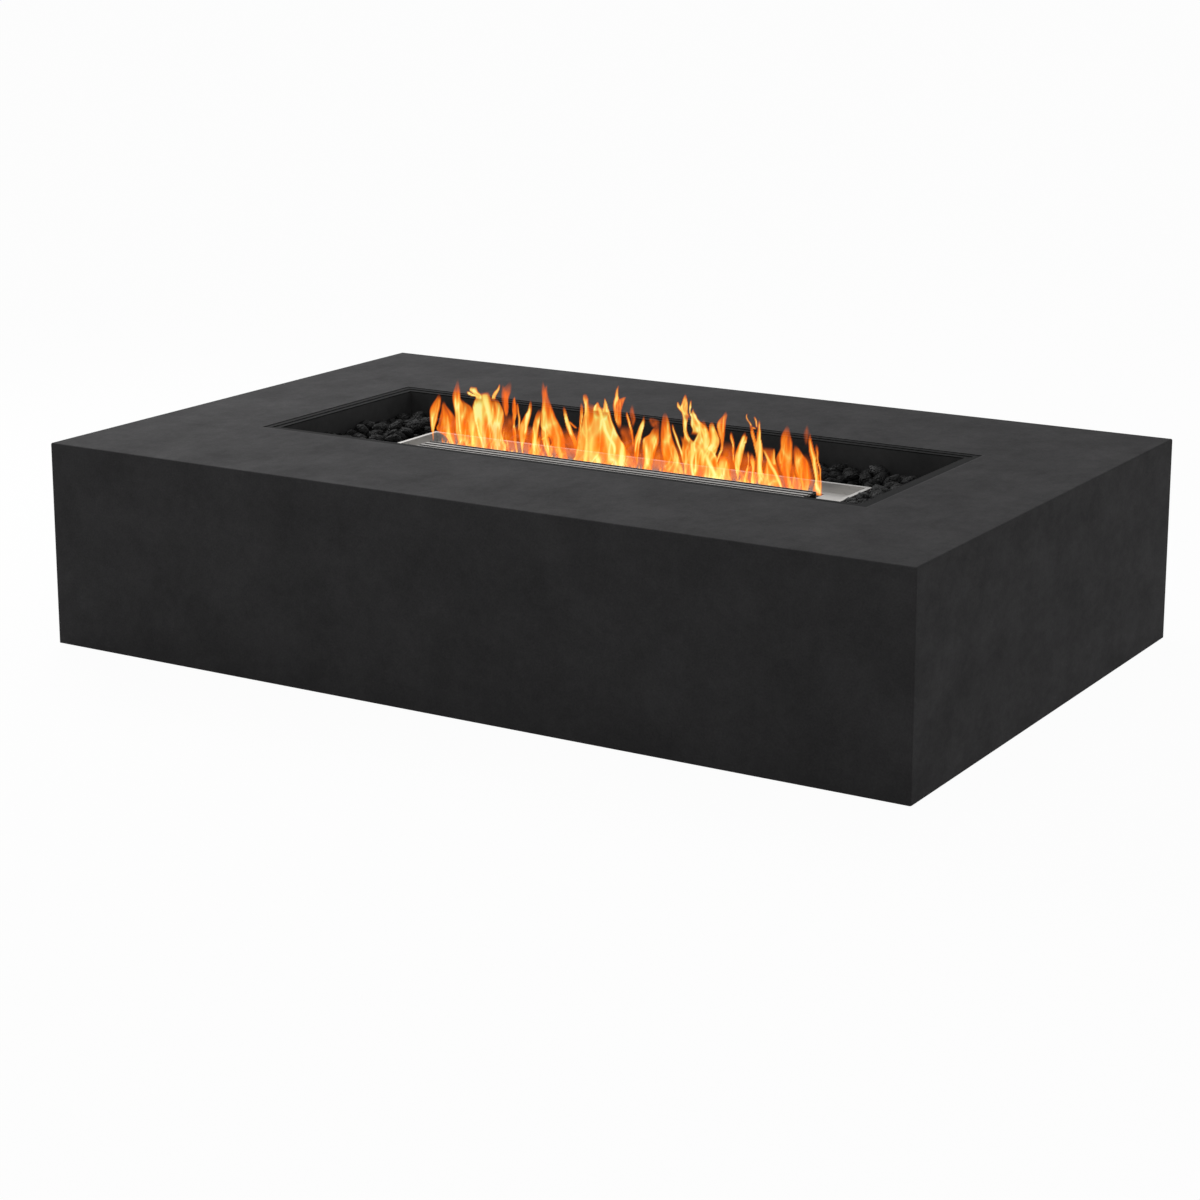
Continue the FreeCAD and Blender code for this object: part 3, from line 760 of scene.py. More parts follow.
@dataclass(frozen=True)
class RockZone:
    """Loose lava rock over one rectangle of the tray, in place of the frame's plain stones.

    Each layer of stones has a height above the bed, its share of the pitch, and its distance from
    the zone's edge. The stones sink by the dip beside the burner's rim.
    """

    node: str
    seed: int
    broken: Break
    rings: int = 5
    columns: int = 9
    facets: int = 13
    facet_tilt: float = 0.22
    facet_depth: Pair = (0.74, 1.12)
    size: Pair = (0.0130, 0.0215)
    pitch: float = 0.0295
    row_share: float = 0.88
    layers: tuple[Triple, ...] = ((0.000, 1.0, 0.010), (0.0095, 1.06, 0.0125))
    scatter: Triple = (0.0052, 0.0052, 0.004)
    dip: float = 0.010
    dip_start: float = 0.010
    dip_reach: float = 0.035
    margin: float = 0.011
    overhang: float = 0.0005

    def directions(self) -> np.ndarray:
        """Unit vectors of a grid on a ball: rings of equal steps in angle, and its two poles.

        Returns:
            The vectors, one row each: the top pole, the rings and the foot pole.
        """
        polar = np.pi * np.arange(1, self.rings + 1) / (self.rings + 1)
        around = 2 * np.pi * np.arange(self.columns) / self.columns
        p, r = np.meshgrid(polar, around, indexing="ij")
        grid = np.stack([np.sin(p) * np.cos(r), np.sin(p) * np.sin(r), np.cos(p)], -1).reshape(-1, 3)
        return np.concatenate([[[0.0, 0.0, 1.0]], grid, [[0.0, 0.0, -1.0]]])

    def faces(self, stones: int) -> tuple[np.ndarray, np.ndarray]:
        """Join the corners of all the stones.

        Args:
            stones: how many stones there are.

        Returns:
            Corner numbers of the quads between rings, and of the triangles at both poles.
        """
        n, last = self.columns, self.rings * self.columns + 1
        k = np.arange(n)
        turn = (k + 1) % n
        ring = 1 + np.arange(self.rings - 1)[:, None] * n
        quads = np.stack([ring + k, ring + n + k, ring + n + turn, ring + turn], -1).reshape(-1, 4)
        cap = np.stack([np.zeros(n, int), 1 + k, 1 + turn], -1)
        end = last - n
        foot = np.stack([np.full(n, last), end + turn, end + k], -1)
        shift = (np.arange(stones) * (last + 1))[:, None, None]
        return (quads + shift).reshape(-1, 4), (np.concatenate([cap, foot]) + shift).reshape(-1, 3)

    def radii(self, ways: np.ndarray, stones: int, rng: np.random.Generator) -> np.ndarray:
        """Each stone's radius along each way.

        A stone is what planes cut from a ball. Plane k lies c_k from its middle, square to n_k,
        and cuts the way d at c_k / (n_k . d). The radius is one over the power norm of all
        (n_k . d) / c_k above nought: a high power keeps facets sharp and a low one rounds them.

        Args:
            ways: unit vectors from the stone's middle.
            stones: how many stones there are.
            rng: the source of random numbers.

        Returns:
            The radii, one row a stone.
        """
        k = np.arange(self.facets) + 0.5
        tilt = np.arccos(1 - 2 * k / self.facets)
        spin = np.pi * (1 + math.sqrt(5)) * k
        base = np.stack([np.sin(tilt) * np.cos(spin), np.sin(tilt) * np.sin(spin), np.cos(tilt)], -1)
        planes = base[None] + rng.normal(0, self.facet_tilt, (stones, self.facets, 3))
        planes /= np.linalg.norm(planes, axis=-1, keepdims=True)
        depth = rng.uniform(*self.facet_depth, (stones, self.facets, 1))
        reach = np.maximum(np.einsum("sfc,mc->sfm", planes, ways) / depth, 0.0)
        power = self.broken.value
        return np.sum(reach ** power, axis=1) ** (-1 / power)

    def turns(self, stones: int, rng: np.random.Generator) -> np.ndarray:
        """A random turn for each stone, from four normal numbers scaled to a unit quaternion.

        Args:
            stones: how many stones there are.
            rng: the source of random numbers.

        Returns:
            A 3 by 3 turning matrix for each stone.
        """
        q = rng.normal(size=(stones, 4))
        w, x, y, z = (q / np.linalg.norm(q, axis=1, keepdims=True)).T
        rows = [[1 - 2 * (y * y + z * z), 2 * (x * y - z * w), 2 * (x * z + y * w)],
                [2 * (x * y + z * w), 1 - 2 * (x * x + z * z), 2 * (y * z - x * w)],
                [2 * (x * z - y * w), 2 * (y * z + x * w), 1 - 2 * (x * x + y * y)]]
        return np.moveaxis(np.array(rows), -1, 0)

    def places(self, low: Vector, high: Vector, rng: np.random.Generator) -> np.ndarray:
        """Middles of the stones: two staggered grids, one sunk into the bed and one on top.

        Args:
            low: the zone's lowest corner.
            high: its highest corner.
            rng: the source of random numbers.

        Returns:
            The middles, one row each.
        """
        made = []
        for height, share, inset in self.layers:
            step = self.pitch * share
            across = np.arange(low.x + inset, high.x - inset + 1e-6, step)
            along = np.arange(low.y + inset, high.y - inset + 1e-6, step * self.row_share)
            x, y = np.meshgrid(across, along)
            x = x + np.where(np.arange(len(along)) % 2, step / 2, 0.0)[:, None]
            z = np.full_like(x, low.z + height)
            made.append(np.stack([x, y, z], -1).reshape(-1, 3))
        spots = np.concatenate(made)
        spots += rng.uniform(-1, 1, spots.shape) * self.scatter
        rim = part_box("burner_surround")[1]
        gap = np.hypot(*np.maximum(np.abs(spots[:, :2]) - (rim.x, rim.y), 0.0).T)
        spots[:, 2] -= self.dip * (1 - ease((gap - self.dip_start) / self.dip_reach))
        hold(spots, low, high, self.margin)
        return spots

    def build(self) -> None:
        """Make the zone's stones as one piece, dress it and let it ride with the table."""
        low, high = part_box(self.node)
        rng = np.random.default_rng(self.seed)
        spots = self.places(low, high, rng)
        stones = len(spots)
        ways = self.directions()
        stretch = rng.uniform(*self.size, (stones, 1, 3))
        shape = self.radii(ways, stones, rng)[..., None] * ways[None] * stretch
        points = np.einsum("sij,smj->smi", self.turns(stones, rng), shape) + spots[:, None]
        hold(points, low, high, -self.overhang)
        piece = mesh_piece(self.node + "_loose", points.reshape(-1, 3), *self.faces(stones))
        LAVA.put_on(piece)
        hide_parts(self.node)
        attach(piece, "table")
        LOG.info("%s: %d stones", piece.name, stones)


@dataclass(frozen=True)
class Wave:
    """The line that a flame sheet stands on: y = middle + swing * sin(2 pi x / length + phase)."""

    middle: float
    swing: float
    length: float
    phase: float

    def depth(self, x: np.ndarray) -> np.ndarray:
        """How far back the sheet stands at each x."""
        return self.middle + self.swing * np.sin(2 * np.pi * x / self.length + self.phase)


@dataclass(frozen=True)
class PhotoCamera:
    """The camera as fitted to corners of the photograph: its place and way, and sizes in pixels."""

    picture: int = 1200
    focal_pixels: float = 2754.7
    middle_row: float = 480.0
    place: Triple = (2.4298, -4.0170, 1.3559)
    way: Triple = (-0.50902, 0.83200, -0.22064)
    turns: int = 12

    def meet(self, columns: np.ndarray, rows: np.ndarray, wave: Wave) -> np.ndarray:
        """Where the sight lines through some pixels meet an upright waving sheet.

        A line leaves the camera along focal * way + (column - middle column) * right
        + (middle row - row) * up. Its point at the sheet's middle gives an x, the sheet's depth
        at that x gives a nearer point, and a dozen turns settle on the sheet.

        Args:
            columns: the pixels' columns.
            rows: the pixels' rows.
            wave: the line that the sheet stands on.

        Returns:
            The points, one row each, in metres.
        """
        way = np.array(self.way) / np.linalg.norm(self.way)
        right = np.cross(way, (0.0, 0.0, 1.0))
        right /= np.linalg.norm(right)
        up = np.cross(right, way)
        lines = self.focal_pixels * way + np.outer(columns - self.picture / 2, right)
        lines += np.outer(self.middle_row - rows, up)
        depth = np.full(len(rows), wave.middle)
        for _ in range(self.turns):
            points = self.place + lines * ((depth - self.place[1]) / lines[:, 1])[:, None]
            depth = wave.depth(points[:, 0])
        return points


PHOTO = PhotoCamera()


class Fire(Enum):
    """What a tongue of flame is made of."""

    VEIL = "soft red see-through gas"
    BODY = "orange flame"
    BLADE = "bright yellow core"


@dataclass(frozen=True)
class Blaze:
    """How one kind of flame glows and covers.

    Its heat gains lift, stir times a slow noise, and broad and fine times two sets of threads. It
    loses core times u squared and rim on a line near the edge, where u is 0 in the middle and 1 on
    the edge. Its cover is full at most, loses fray of that over the last of its height, and ends
    within one part in tip. Soft is its soft edge's share of the half width, and that edge's least
    and greatest width in metres.
    """

    stir: float
    broad: float
    soft: Triple
    lift: float = 0.0
    fine: float = 0.0
    core: float = 0.0
    rim: float = 0.0
    full: float = 1.0
    fray: float = 0.0
    tip: float = 9.0
    fray_start: float = 0.7
    rim_place: float = 0.8
    rim_width: float = 0.16

    def gain(self, u: np.ndarray, stir: np.ndarray, broad: np.ndarray, fine: np.ndarray) -> np.ndarray:
        """The heat that noise, threads and the place across the tongue add.

        Args:
            u: the place across the tongue, from -1 to 1.
            stir: the slow noise.
            broad: the broad threads.
            fine: the fine threads.

        Returns:
            The heat added at each point.
        """
        line = np.exp(-((np.abs(u) - self.rim_place) / self.rim_width) ** 2)
        woven = self.stir * stir + self.broad * broad + self.fine * fine
        return self.lift + woven - self.core * u * u - self.rim * line

    def fullness(self, t: np.ndarray) -> np.ndarray:
        """The cover at each share of the height, before the foot is shaped."""
        frayed = 1 - self.fray * ease((t - self.fray_start) / (1 - self.fray_start))
        return self.full * frayed * ease(self.tip * (1 - t))


SLOT_WAVE = Wave(0.058, 0.006, 0.36, 0.6)
BACK_WAVE = Wave(0.066, 0.006, 0.42, 2.0)
FRONT_WAVE = Wave(0.049, 0.005, 0.30, 4.0)
WAVES = {Fire.VEIL: BACK_WAVE, Fire.BODY: SLOT_WAVE, Fire.BLADE: SLOT_WAVE}
BLAZES = {
    Fire.VEIL: Blaze(0.25, 0.25, (0.55, 0.004, math.inf), lift=-0.075, full=0.66, tip=3.0),
    Fire.BODY: Blaze(0.6, 0.5, (0.24, 0.0010, 0.0034), lift=-0.177, fine=0.34, rim=0.16, full=0.95,
                     fray=0.55),
    Fire.BLADE: Blaze(0.16, 0.1, (0.8, 0.0011, math.inf), core=0.3, fray=0.25),
}
THINNEST = 0.0003
ROOTED_BELOW = 0.306


@dataclass(frozen=True)
class Tongue:
    """One tongue of flame: its brightness at foot and tip, and its outline.

    A knot is a height, a place along the slot and a half width, in millimetres, foot first.
    """

    kind: Fire
    foot: float
    tip: float
    knots: tuple[Triple, ...]

    def curves(self, z: np.ndarray) -> tuple[np.ndarray, np.ndarray]:
        """Middle and half width at each height: cubic curves through the knots.

        Args:
            z: the heights, in metres.

        Returns:
            The middles and the half widths, in metres.
        """
        height, middle, half = np.array(self.knots, float).T / 1000
        span = np.clip(np.searchsorted(height, z) - 1, 0, len(height) - 2)
        step = height[span + 1] - height[span]
        t = np.clip((z - height[span]) / step, 0, 1)
        start, end = (1 + 2 * t) * (1 - t) ** 2, t * t * (3 - 2 * t)
        leave, arrive = step * t * (1 - t) ** 2, step * t * t * (t - 1)
        made = []
        for value in (middle, half):
            slope = np.gradient(value, height)
            made.append(start * value[span] + leave * slope[span] + end * value[span + 1]
                        + arrive * slope[span + 1])
        return made[0], np.maximum(made[1], THINNEST)

    def shape_foot(self, t: np.ndarray, stir: np.ndarray, rooted: bool) -> np.ndarray:
        """The share of its cover that the tongue has near its foot.

        A veil comes in softly and patchily over the first three tenths. A blade comes in over a
        sixth. A body is a little thin over the first tenth if it is rooted on the deck, and else
        comes in over a fifth.

        Args:
            t: the share of the height at each point.
            stir: the slow noise there.
            rooted: whether the tongue starts at the deck.

        Returns:
            The share of the cover.
        """
        if self.kind is Fire.VEIL:
            return (0.82 + 0.9 * stir) * ease(t / 0.3)
        if self.kind is Fire.BLADE:
            return ease(6 * t + 0.4 * rooted)
        return 1 - 0.4 * ease(1 - 10 * t) if rooted else ease(5 * t)


def flame(kind: Fire, foot: float, tip: float, *knots: Triple) -> Tongue:
    """A tongue from its knots in millimetres, foot first."""
    return Tongue(kind, foot, tip, knots)


def traced(kind: Fire, foot: float, tip: float, *rows: Triple, root_height: float = 0.314,
           root_lean: float = 0.4, root_taper: float = 0.9) -> Tongue:
    """A tongue from its outline as traced on the photograph.

    The sight lines through both its edges meet its sheet. The knot lies halfway between the two
    points, and half their distance is its half width. A tongue that starts near the deck gets one
    more knot on the deck, which leans on as the tongue starts.

    Args:
        kind: what the tongue is made of.
        foot: its brightness at the foot.
        tip: its brightness at the tip.
        rows: a row of the picture and the tongue's left and right edge in it, in pixels, top first.
        root_height: the height below which a tongue counts as starting near the deck.
        root_lean: how far it leans below its lowest row, as a share of the lean above it.
        root_taper: its width on the deck as a share of that at its lowest row.

    Returns:
        The tongue, standing on its sheet.
    """
    row, left, right = np.array(rows[::-1], float).T
    start, end = (PHOTO.meet(edge, row, WAVES[kind]) for edge in (left, right))
    middle = (start + end) / 2
    half = np.maximum((end - start)[:, 0] / 2, THINNEST)
    knots = np.stack([middle[:, 2], middle[:, 0], half], -1)
    if knots[0, 0] < root_height:
        place = knots[0, 1] - root_lean * (knots[1, 1] - knots[0, 1])
        knots = np.vstack([(DECK_TOP, place, root_taper * knots[0, 2]), knots])
    return flame(kind, foot, tip, *(1000 * knots))


VEIL, BODY, BLADE = Fire.VEIL, Fire.BODY, Fire.BLADE
TONGUES: tuple[Tongue, ...] = (
    traced(VEIL, 0.3, 0.05, (377, 457.3, 457.9), (382, 456.3, 459.2), (396, 452.6, 460.5), (404, 453, 462),
           (415, 455, 461)),
    traced(VEIL, 0.22, 0.05, (380, 509.8, 511.4), (384, 507.5, 511.8), (388, 503.5, 511.5),
           (400, 501, 509.2), (408, 502.5, 508.6), (418, 504, 507)),
    traced(VEIL, 0.22, 0.05, (383, 502, 502.8), (393, 501, 507), (402, 501.2, 508)),
    traced(VEIL, 0.2, 0.05, (403, 631.4, 632.8), (408, 630, 634), (419, 630.2, 636), (429, 631.8, 633)),
    traced(VEIL, 0.12, 0, (417, 650, 653), (420, 648.5, 659), (424, 650, 659.5), (429, 652, 659)),
    traced(VEIL, 0.1, 0, (423, 807, 808), (432, 803.6, 808.8), (447, 805, 807)),
    traced(VEIL, 0.2, 0.05, (379, 541.7, 542.3), (388, 541.2, 545), (402, 542, 550)),
    traced(VEIL, 0.2, 0.05, (383, 546.3, 547.1), (392, 543, 547.6), (398, 542.5, 549)),
    traced(VEIL, 0.25, 0.15, (424, 526, 531), (430, 525, 535), (438, 524, 536), (446, 526, 534)),
    traced(VEIL, 0.3, 0.1, (412, 506, 512), (420, 503, 515), (432, 500, 517), (446, 500, 519)),
    traced(VEIL, 0.3, 0.1, (426, 561, 567), (434, 560, 572), (444, 562, 578), (456, 566, 577)),
    traced(VEIL, 0.3, 0.1, (424, 621, 630), (432, 619, 634), (442, 622, 636), (456, 624, 637)),
    traced(VEIL, 0.3, 0.1, (440, 724, 733), (448, 722, 737), (474, 724, 736)),
    traced(VEIL, 0.3, 0.1, (450, 742, 752), (458, 739, 756), (468, 738, 758), (480, 740, 760)),
    traced(VEIL, 0.3, 0.1, (452, 800, 808), (462, 798, 812), (474, 800, 815), (486, 802, 816)),
    traced(VEIL, 0.3, 0.1, (446, 641, 652), (454, 640, 662), (464, 642, 664), (472, 644, 664)),
    traced(BODY, 0.62, 0.38, (393, 438.9, 440.2), (398, 436.4, 440.8), (410, 429.6, 439.8),
           (417, 429.7, 438.2), (433, 431.8, 434), (441, 432.3, 432.9)),
    traced(BODY, 0.42, 0.3, (400, 442.6, 443.6), (405, 441.6, 446), (416, 440.2, 455), (424, 437.8, 455.6),
           (431, 437, 455), (438, 446, 455), (445, 449, 456)),
    traced(BODY, 0.5, 0.35, (386, 455.4, 459.8), (397, 452.4, 460.6), (405, 453, 463.5), (413, 454.6, 463),
           (423, 455, 463), (435, 456, 466), (446, 459, 468)),
    traced(BODY, 0.5, 0.3, (398, 461, 462), (402, 461, 465), (405, 461, 470), (411, 461, 474),
           (420, 461, 478), (430, 460, 480), (440, 461, 482), (448, 463, 484)),
    traced(BODY, 0.6, 0.45, (386.5, 471.2, 476.6), (391.5, 470, 478.5), (394, 473, 481), (400, 476, 482)),
    traced(BODY, 0.6, 0.5, (391, 467, 468.5), (395.3, 469, 476), (397, 473, 478)),
    traced(BODY, 0.62, 0.6, (391, 487.6, 489.3), (394, 480, 490), (399, 475.5, 491.5), (412, 472.5, 495),
           (422, 474, 500), (434, 477, 503), (448, 482, 507)),
    traced(BODY, 0.45, 0.35, (397, 494, 496), (401, 491.5, 499), (407, 491.5, 502.5), (419, 492, 504.6),
           (426, 490, 503.2), (434, 488, 501.8), (441, 486, 501), (450, 487, 508)),
    traced(BODY, 0.42, 0.35, (383.5, 499.7, 500.4), (387, 498, 500), (396, 492.2, 496.2),
           (401, 490.5, 495.4)),
    traced(BODY, 0.3, 0.1, (390, 504, 511), (396, 503.4, 509.4), (410, 504.6, 508.4), (418, 505, 507.2)),
    traced(BODY, 0.45, 0.2, (385, 541.9, 546.8), (392, 541.2, 547.4), (399, 541.6, 549.4),
           (421, 540.2, 558.6), (430, 541, 563.2), (438, 548.8, 565.5), (446, 551.6, 565.8),
           (453, 555, 567), (459, 557.4, 569.4)),
    traced(BODY, 0.5, 0.3, (408, 538.6, 541), (420, 533.8, 540.4), (428, 532.6, 539), (446, 530.6, 538.6),
           (454, 528, 539.6)),
    traced(BODY, 0.4, 0.3, (424, 541, 546), (440, 541.4, 549.6), (448, 544, 549.8), (456, 547.6, 550.4)),
    traced(BODY, 0.55, 0.3, (393, 584.2, 586), (396, 583, 587.6), (407, 584.2, 589), (420, 584, 590)),
    traced(BODY, 0.6, 0.5, (401.5, 589, 590.6), (404, 588.6, 592.5), (406.5, 587, 601.5), (411, 585, 608.5),
           (417, 583.6, 611), (431, 581, 617.4), (438, 578.6, 621.6), (445, 577, 625.8), (458, 574.4, 626),
           (466, 573, 625.8)),
    traced(BODY, 0.45, 0.3, (401, 580.7, 581.5), (405, 580.2, 582.6), (426, 579.2, 582.4),
           (443, 575.6, 579.6), (452, 573, 580)),
    traced(BODY, 0.6, 0.55, (397.5, 604.5, 605.3), (409, 602.8, 608.8), (414, 601, 611)),
    traced(BODY, 0.6, 0.55, (401.5, 597.2, 597.9), (407, 594, 600.5), (412, 592, 603)),
    traced(BODY, 0.42, 0.3, (383.5, 618.9, 619.6), (396, 614.5, 618.6), (406, 613, 621.8),
           (413, 613.4, 621.5), (431, 619, 621)),
    traced(BODY, 0.35, 0.25, (396.5, 625.8, 627), (399, 620, 625.6), (406, 616, 622.5), (411, 616, 621.6)),
    traced(BODY, 0.5, 0.35, (410.5, 626, 627.2), (415, 626.1, 628.7), (442, 631.8, 633.8), (450, 632, 634)),
    traced(BODY, 0.6, 0.6, (414, 644.3, 645), (419, 642.8, 645), (438, 634.8, 641.8), (452, 633.8, 639.4),
           (459, 635, 638.2), (468, 636.5, 637.3)),
    traced(BODY, 0.48, 0.25, (425, 657.6, 659), (430, 652.2, 659.6), (435, 648.8, 660), (439, 643.6, 660),
           (446, 642.6, 658), (463, 643.3, 653.2), (471, 641.6, 651)),
    traced(BODY, 0.45, 0.25, (411, 665, 665.8), (414, 663.4, 666.8), (426, 661.4, 670.2),
           (434, 660.8, 671.4), (450, 660.6, 677.2), (467, 665.4, 682.6), (475, 666, 684)),
    traced(BODY, 0.6, 0.45, (393.5, 685, 685.8), (405, 681, 688.2), (408, 680, 688.3), (411, 681.6, 688.2),
           (419, 685, 691)),
    traced(BODY, 0.65, 0.6, (401.5, 677.6, 678.6), (407, 677.4, 681), (413, 682, 686)),
    traced(BODY, 0.6, 0.5, (399, 690.3, 690.9), (407, 689.3, 691.6), (411, 689.2, 690.8), (419, 691, 695)),
    traced(BODY, 0.6, 0.5, (407.5, 693.2, 694), (411, 692.2, 694.2), (414.5, 691.2, 696), (418, 691, 697.6),
           (425, 690, 706), (431, 692, 709), (437, 690, 711)),
    traced(BODY, 0.6, 0.6, (414, 683, 689), (424, 683, 687), (437, 683.6, 690), (444, 683, 696)),
    traced(BODY, 0.6, 0.5, (418.5, 703.4, 704.2), (421, 702.6, 705), (424, 700, 706.6), (429, 699, 708.6),
           (437, 696, 712), (446, 692, 718), (456, 688, 715), (466, 690, 718), (480, 700, 722)),
    traced(BODY, 0.62, 0.45, (421, 711.6, 712.2), (424, 709.8, 713.6), (434, 708.6, 718.3),
           (439, 709, 720.2), (445, 708, 719.4), (452, 704, 715.6)),
    traced(BODY, 0.55, 0.45, (435.5, 678, 686), (439, 680, 692), (445, 682, 706), (452, 681.4, 716),
           (460, 681, 718), (468, 683, 720), (478, 684, 722)),
    traced(BODY, 0.45, 0.2, (410, 725.8, 726.4), (413.5, 724.6, 727.4), (421, 718.2, 726.6),
           (434, 718, 724.9), (441, 720.6, 724.2), (449, 720.6, 723.4), (456, 717.8, 720.8),
           (464, 714.6, 718)),
    traced(BODY, 0.45, 0.3, (454, 721, 725), (460, 719, 729), (474, 718, 731.4), (482, 722, 732)),
    traced(BODY, 0.5, 0.3, (430.5, 730.4, 731.3), (440, 730, 733.6), (446, 731.8, 734.4),
           (454, 732.6, 734.6), (466, 733, 735)),
    traced(BODY, 0.62, 0.6, (430.5, 744.6, 745.2), (440, 740.8, 746), (445, 738.3, 745.1),
           (472, 735.3, 739.8), (481, 737.4, 738.7)),
    traced(BODY, 0.5, 0.4, (435.5, 745.8, 746.9), (439, 745, 746.8), (444, 743, 745.8)),
    traced(BODY, 0.5, 0.35, (450, 747.4, 748.1), (455, 746.9, 748.9), (461, 747.8, 749.3),
           (474, 744.8, 748.6), (483, 742.6, 747.2)),
    traced(BODY, 0.45, 0.3, (452.5, 751.2, 752.2), (457, 749.9, 753.6), (470, 752, 755), (480, 751, 755)),
    traced(BODY, 0.55, 0.5, (423, 750, 752), (434, 751.2, 754.5), (453, 755.4, 760), (462, 756, 762)),
    traced(BODY, 0.6, 0.6, (417.6, 758.4, 759.4), (437, 756.4, 761), (446, 756, 763), (456, 756.6, 763),
           (476, 757, 766), (487, 759, 778)),
    traced(BODY, 0.4, 0.35, (446.5, 763, 773), (450, 764, 774.4), (456, 766, 775), (474, 764, 780),
           (484, 762, 782)),
    traced(BODY, 0.42, 0.2, (424, 787.2, 788), (436, 781.3, 791.1), (448, 780, 793.2), (460, 776, 793),
           (475, 782, 790.8), (483, 784.4, 792.3), (490, 786, 795.5)),
    traced(BODY, 0.4, 0.25, (444, 794.4, 795.6), (454, 793.5, 802.8), (460, 793.5, 807.6),
           (466, 794.2, 809.6), (482, 799.6, 811), (490, 801.6, 809)),
    flame(BODY, 0.4, 0.3, (298, 368, 9), (304, 367, 9), (318, 366, 5), (334, 364, 1)),
    traced(BODY, 0.62, 0.45, (431, 809.2, 809.8), (435, 808.4, 810.6), (455, 809.4, 816),
           (462, 811.2, 817.5), (480, 814.4, 819.6), (492, 815.4, 821)),
    traced(BODY, 0.5, 0.4, (442.5, 815.9, 816.5), (446, 815.3, 817.6), (457, 816.5, 818.5),
           (463, 817.5, 819.6), (469, 819, 821.2), (478, 819.2, 821.4), (492, 819, 821.4)),
    traced(BLADE, 0.75, 0.55, (398, 438.4, 440.2), (405, 437.6, 439.6), (421, 434, 436.6),
           (430, 432.6, 434)),
    traced(BLADE, 0.85, 0.6, (414, 446.4, 448.6), (431, 447.3, 450.6), (438, 449, 452.4),
           (444, 450.6, 454.4)),
    traced(BLADE, 0.98, 0.6, (392, 457.8, 459.2), (399, 457.6, 459.6), (412, 457.2, 460.8),
           (418, 457.8, 460.4), (426, 458.2, 459.8), (436, 460, 462)),
    traced(BLADE, 0.8, 0.6, (410, 470, 474), (427, 468, 474.6), (436, 469.6, 474.4), (446, 471.4, 475)),
    traced(BLADE, 0.98, 0.9, (403, 471.8, 474), (408, 472.2, 475.2), (421, 475.2, 477.8),
           (438, 479.6, 482.4), (447, 482, 485.6)),
    traced(BLADE, 0.95, 0.9, (391.5, 487.2, 489), (395, 481, 489.6), (400, 481.6, 490), (415, 486, 492.6),
           (422, 487.4, 493), (429, 490, 494.6), (435, 492.4, 494.4)),
    traced(BLADE, 0.75, 0.5, (399, 494.4, 496), (414, 496, 499.6), (434, 493, 497), (446, 493, 497)),
    traced(BLADE, 0.9, 0.5, (396.5, 514.1, 514.9), (401, 513.6, 515.8), (413, 513.6, 515.6)),
    traced(BODY, 0.5, 0.4, (395, 514.2, 514.8), (400, 513, 515.9), (414, 512.2, 516.6), (422, 512, 515),
           (431, 512.8, 516), (442, 514.2, 516.8), (453, 516.2, 518.4)),
    traced(BLADE, 0.8, 0.5, (402, 517.3, 517.9), (407, 516.6, 518.8), (413, 517.1, 519.5),
           (419, 517.9, 520.6), (434, 518, 519.4)),
    traced(BLADE, 0.72, 0.6, (437, 513.4, 514.8), (444, 514, 516.2), (452.5, 516, 518.4)),
    traced(BODY, 0.6, 0.55, (398.5, 530.7, 531.4), (409, 527.8, 532), (428, 519.3, 528),
           (448, 520.8, 523.9), (454, 521.8, 523)),
    traced(BLADE, 0.95, 0.85, (407, 529.2, 531), (414, 526.6, 530.4), (421, 524.2, 528.8),
           (428, 524.4, 527.4), (436, 523.6, 525.6)),
    traced(BLADE, 0.85, 0.5, (421, 534.2, 535.6), (427, 533, 535.8), (441, 533.2, 536), (452, 531.6, 536)),
    traced(BLADE, 0.68, 0.55, (430, 548.8, 552), (438, 542, 547), (440.5, 539.4, 542)),
    traced(BLADE, 0.7, 0.55, (422, 551, 554), (430, 553, 559), (438, 555.4, 560.4), (446, 556.4, 561),
           (456, 557.6, 563)),
    traced(BODY, 0.6, 0.5, (405, 563.2, 563.8), (410, 562.9, 565.8), (423, 564.9, 570.2), (446, 573, 576.6),
           (453, 574.6, 575.4)),
    traced(BLADE, 0.97, 0.7, (412, 563.8, 565.6), (424, 566, 569.6), (437, 570.8, 573.8)),
    traced(BLADE, 0.45, 0.35, (421, 569, 570), (424, 570, 573), (427, 572.6, 576.4), (429, 575.6, 577.6)),
    traced(BLADE, 0.85, 0.7, (414, 585.4, 587), (452, 583.4, 588.4), (460, 582, 588)),
    traced(BLADE, 1, 0.85, (405, 597, 600), (411, 598, 602), (424, 601.6, 607), (431, 602.6, 609),
           (438, 606, 612.6), (444, 610.4, 615.6), (459, 612, 615.6)),
    traced(BLADE, 0.85, 0.65, (404, 604.6, 606.2), (409, 606, 608.6), (422, 610, 613), (429, 612.4, 616),
           (437, 614.4, 618)),
    traced(BLADE, 0.95, 0.85, (440, 620, 622.6), (446, 619.6, 625.4), (452, 618.6, 625.6),
           (459, 618, 625.4), (467, 618, 625.6)),
    traced(BLADE, 0.65, 0.5, (388, 617.2, 618.6), (394, 615.9, 617.6), (400, 615.2, 617),
           (406, 614, 615.6)),
    traced(BLADE, 0.9, 0.6, (412, 626.6, 627.8), (417, 626.9, 629), (427, 629, 630.8)),
    traced(BLADE, 0.92, 0.85, (419, 643.2, 644.4), (433, 637.6, 642.6), (447, 634.3, 636.4),
           (455, 634.8, 636.2)),
    traced(BLADE, 0.7, 0.5, (438, 648, 651), (446, 649, 653), (455, 648.6, 652.4), (464, 646.6, 650)),
    traced(BLADE, 0.65, 0.5, (424, 664, 666), (433, 664, 667), (442, 666, 671), (460, 671, 675),
           (471, 674, 679)),
    traced(BLADE, 0.97, 0.7, (423, 671.7, 672.7), (428, 671.8, 674.2), (452, 679.4, 682.6),
           (459, 681.4, 683.4)),
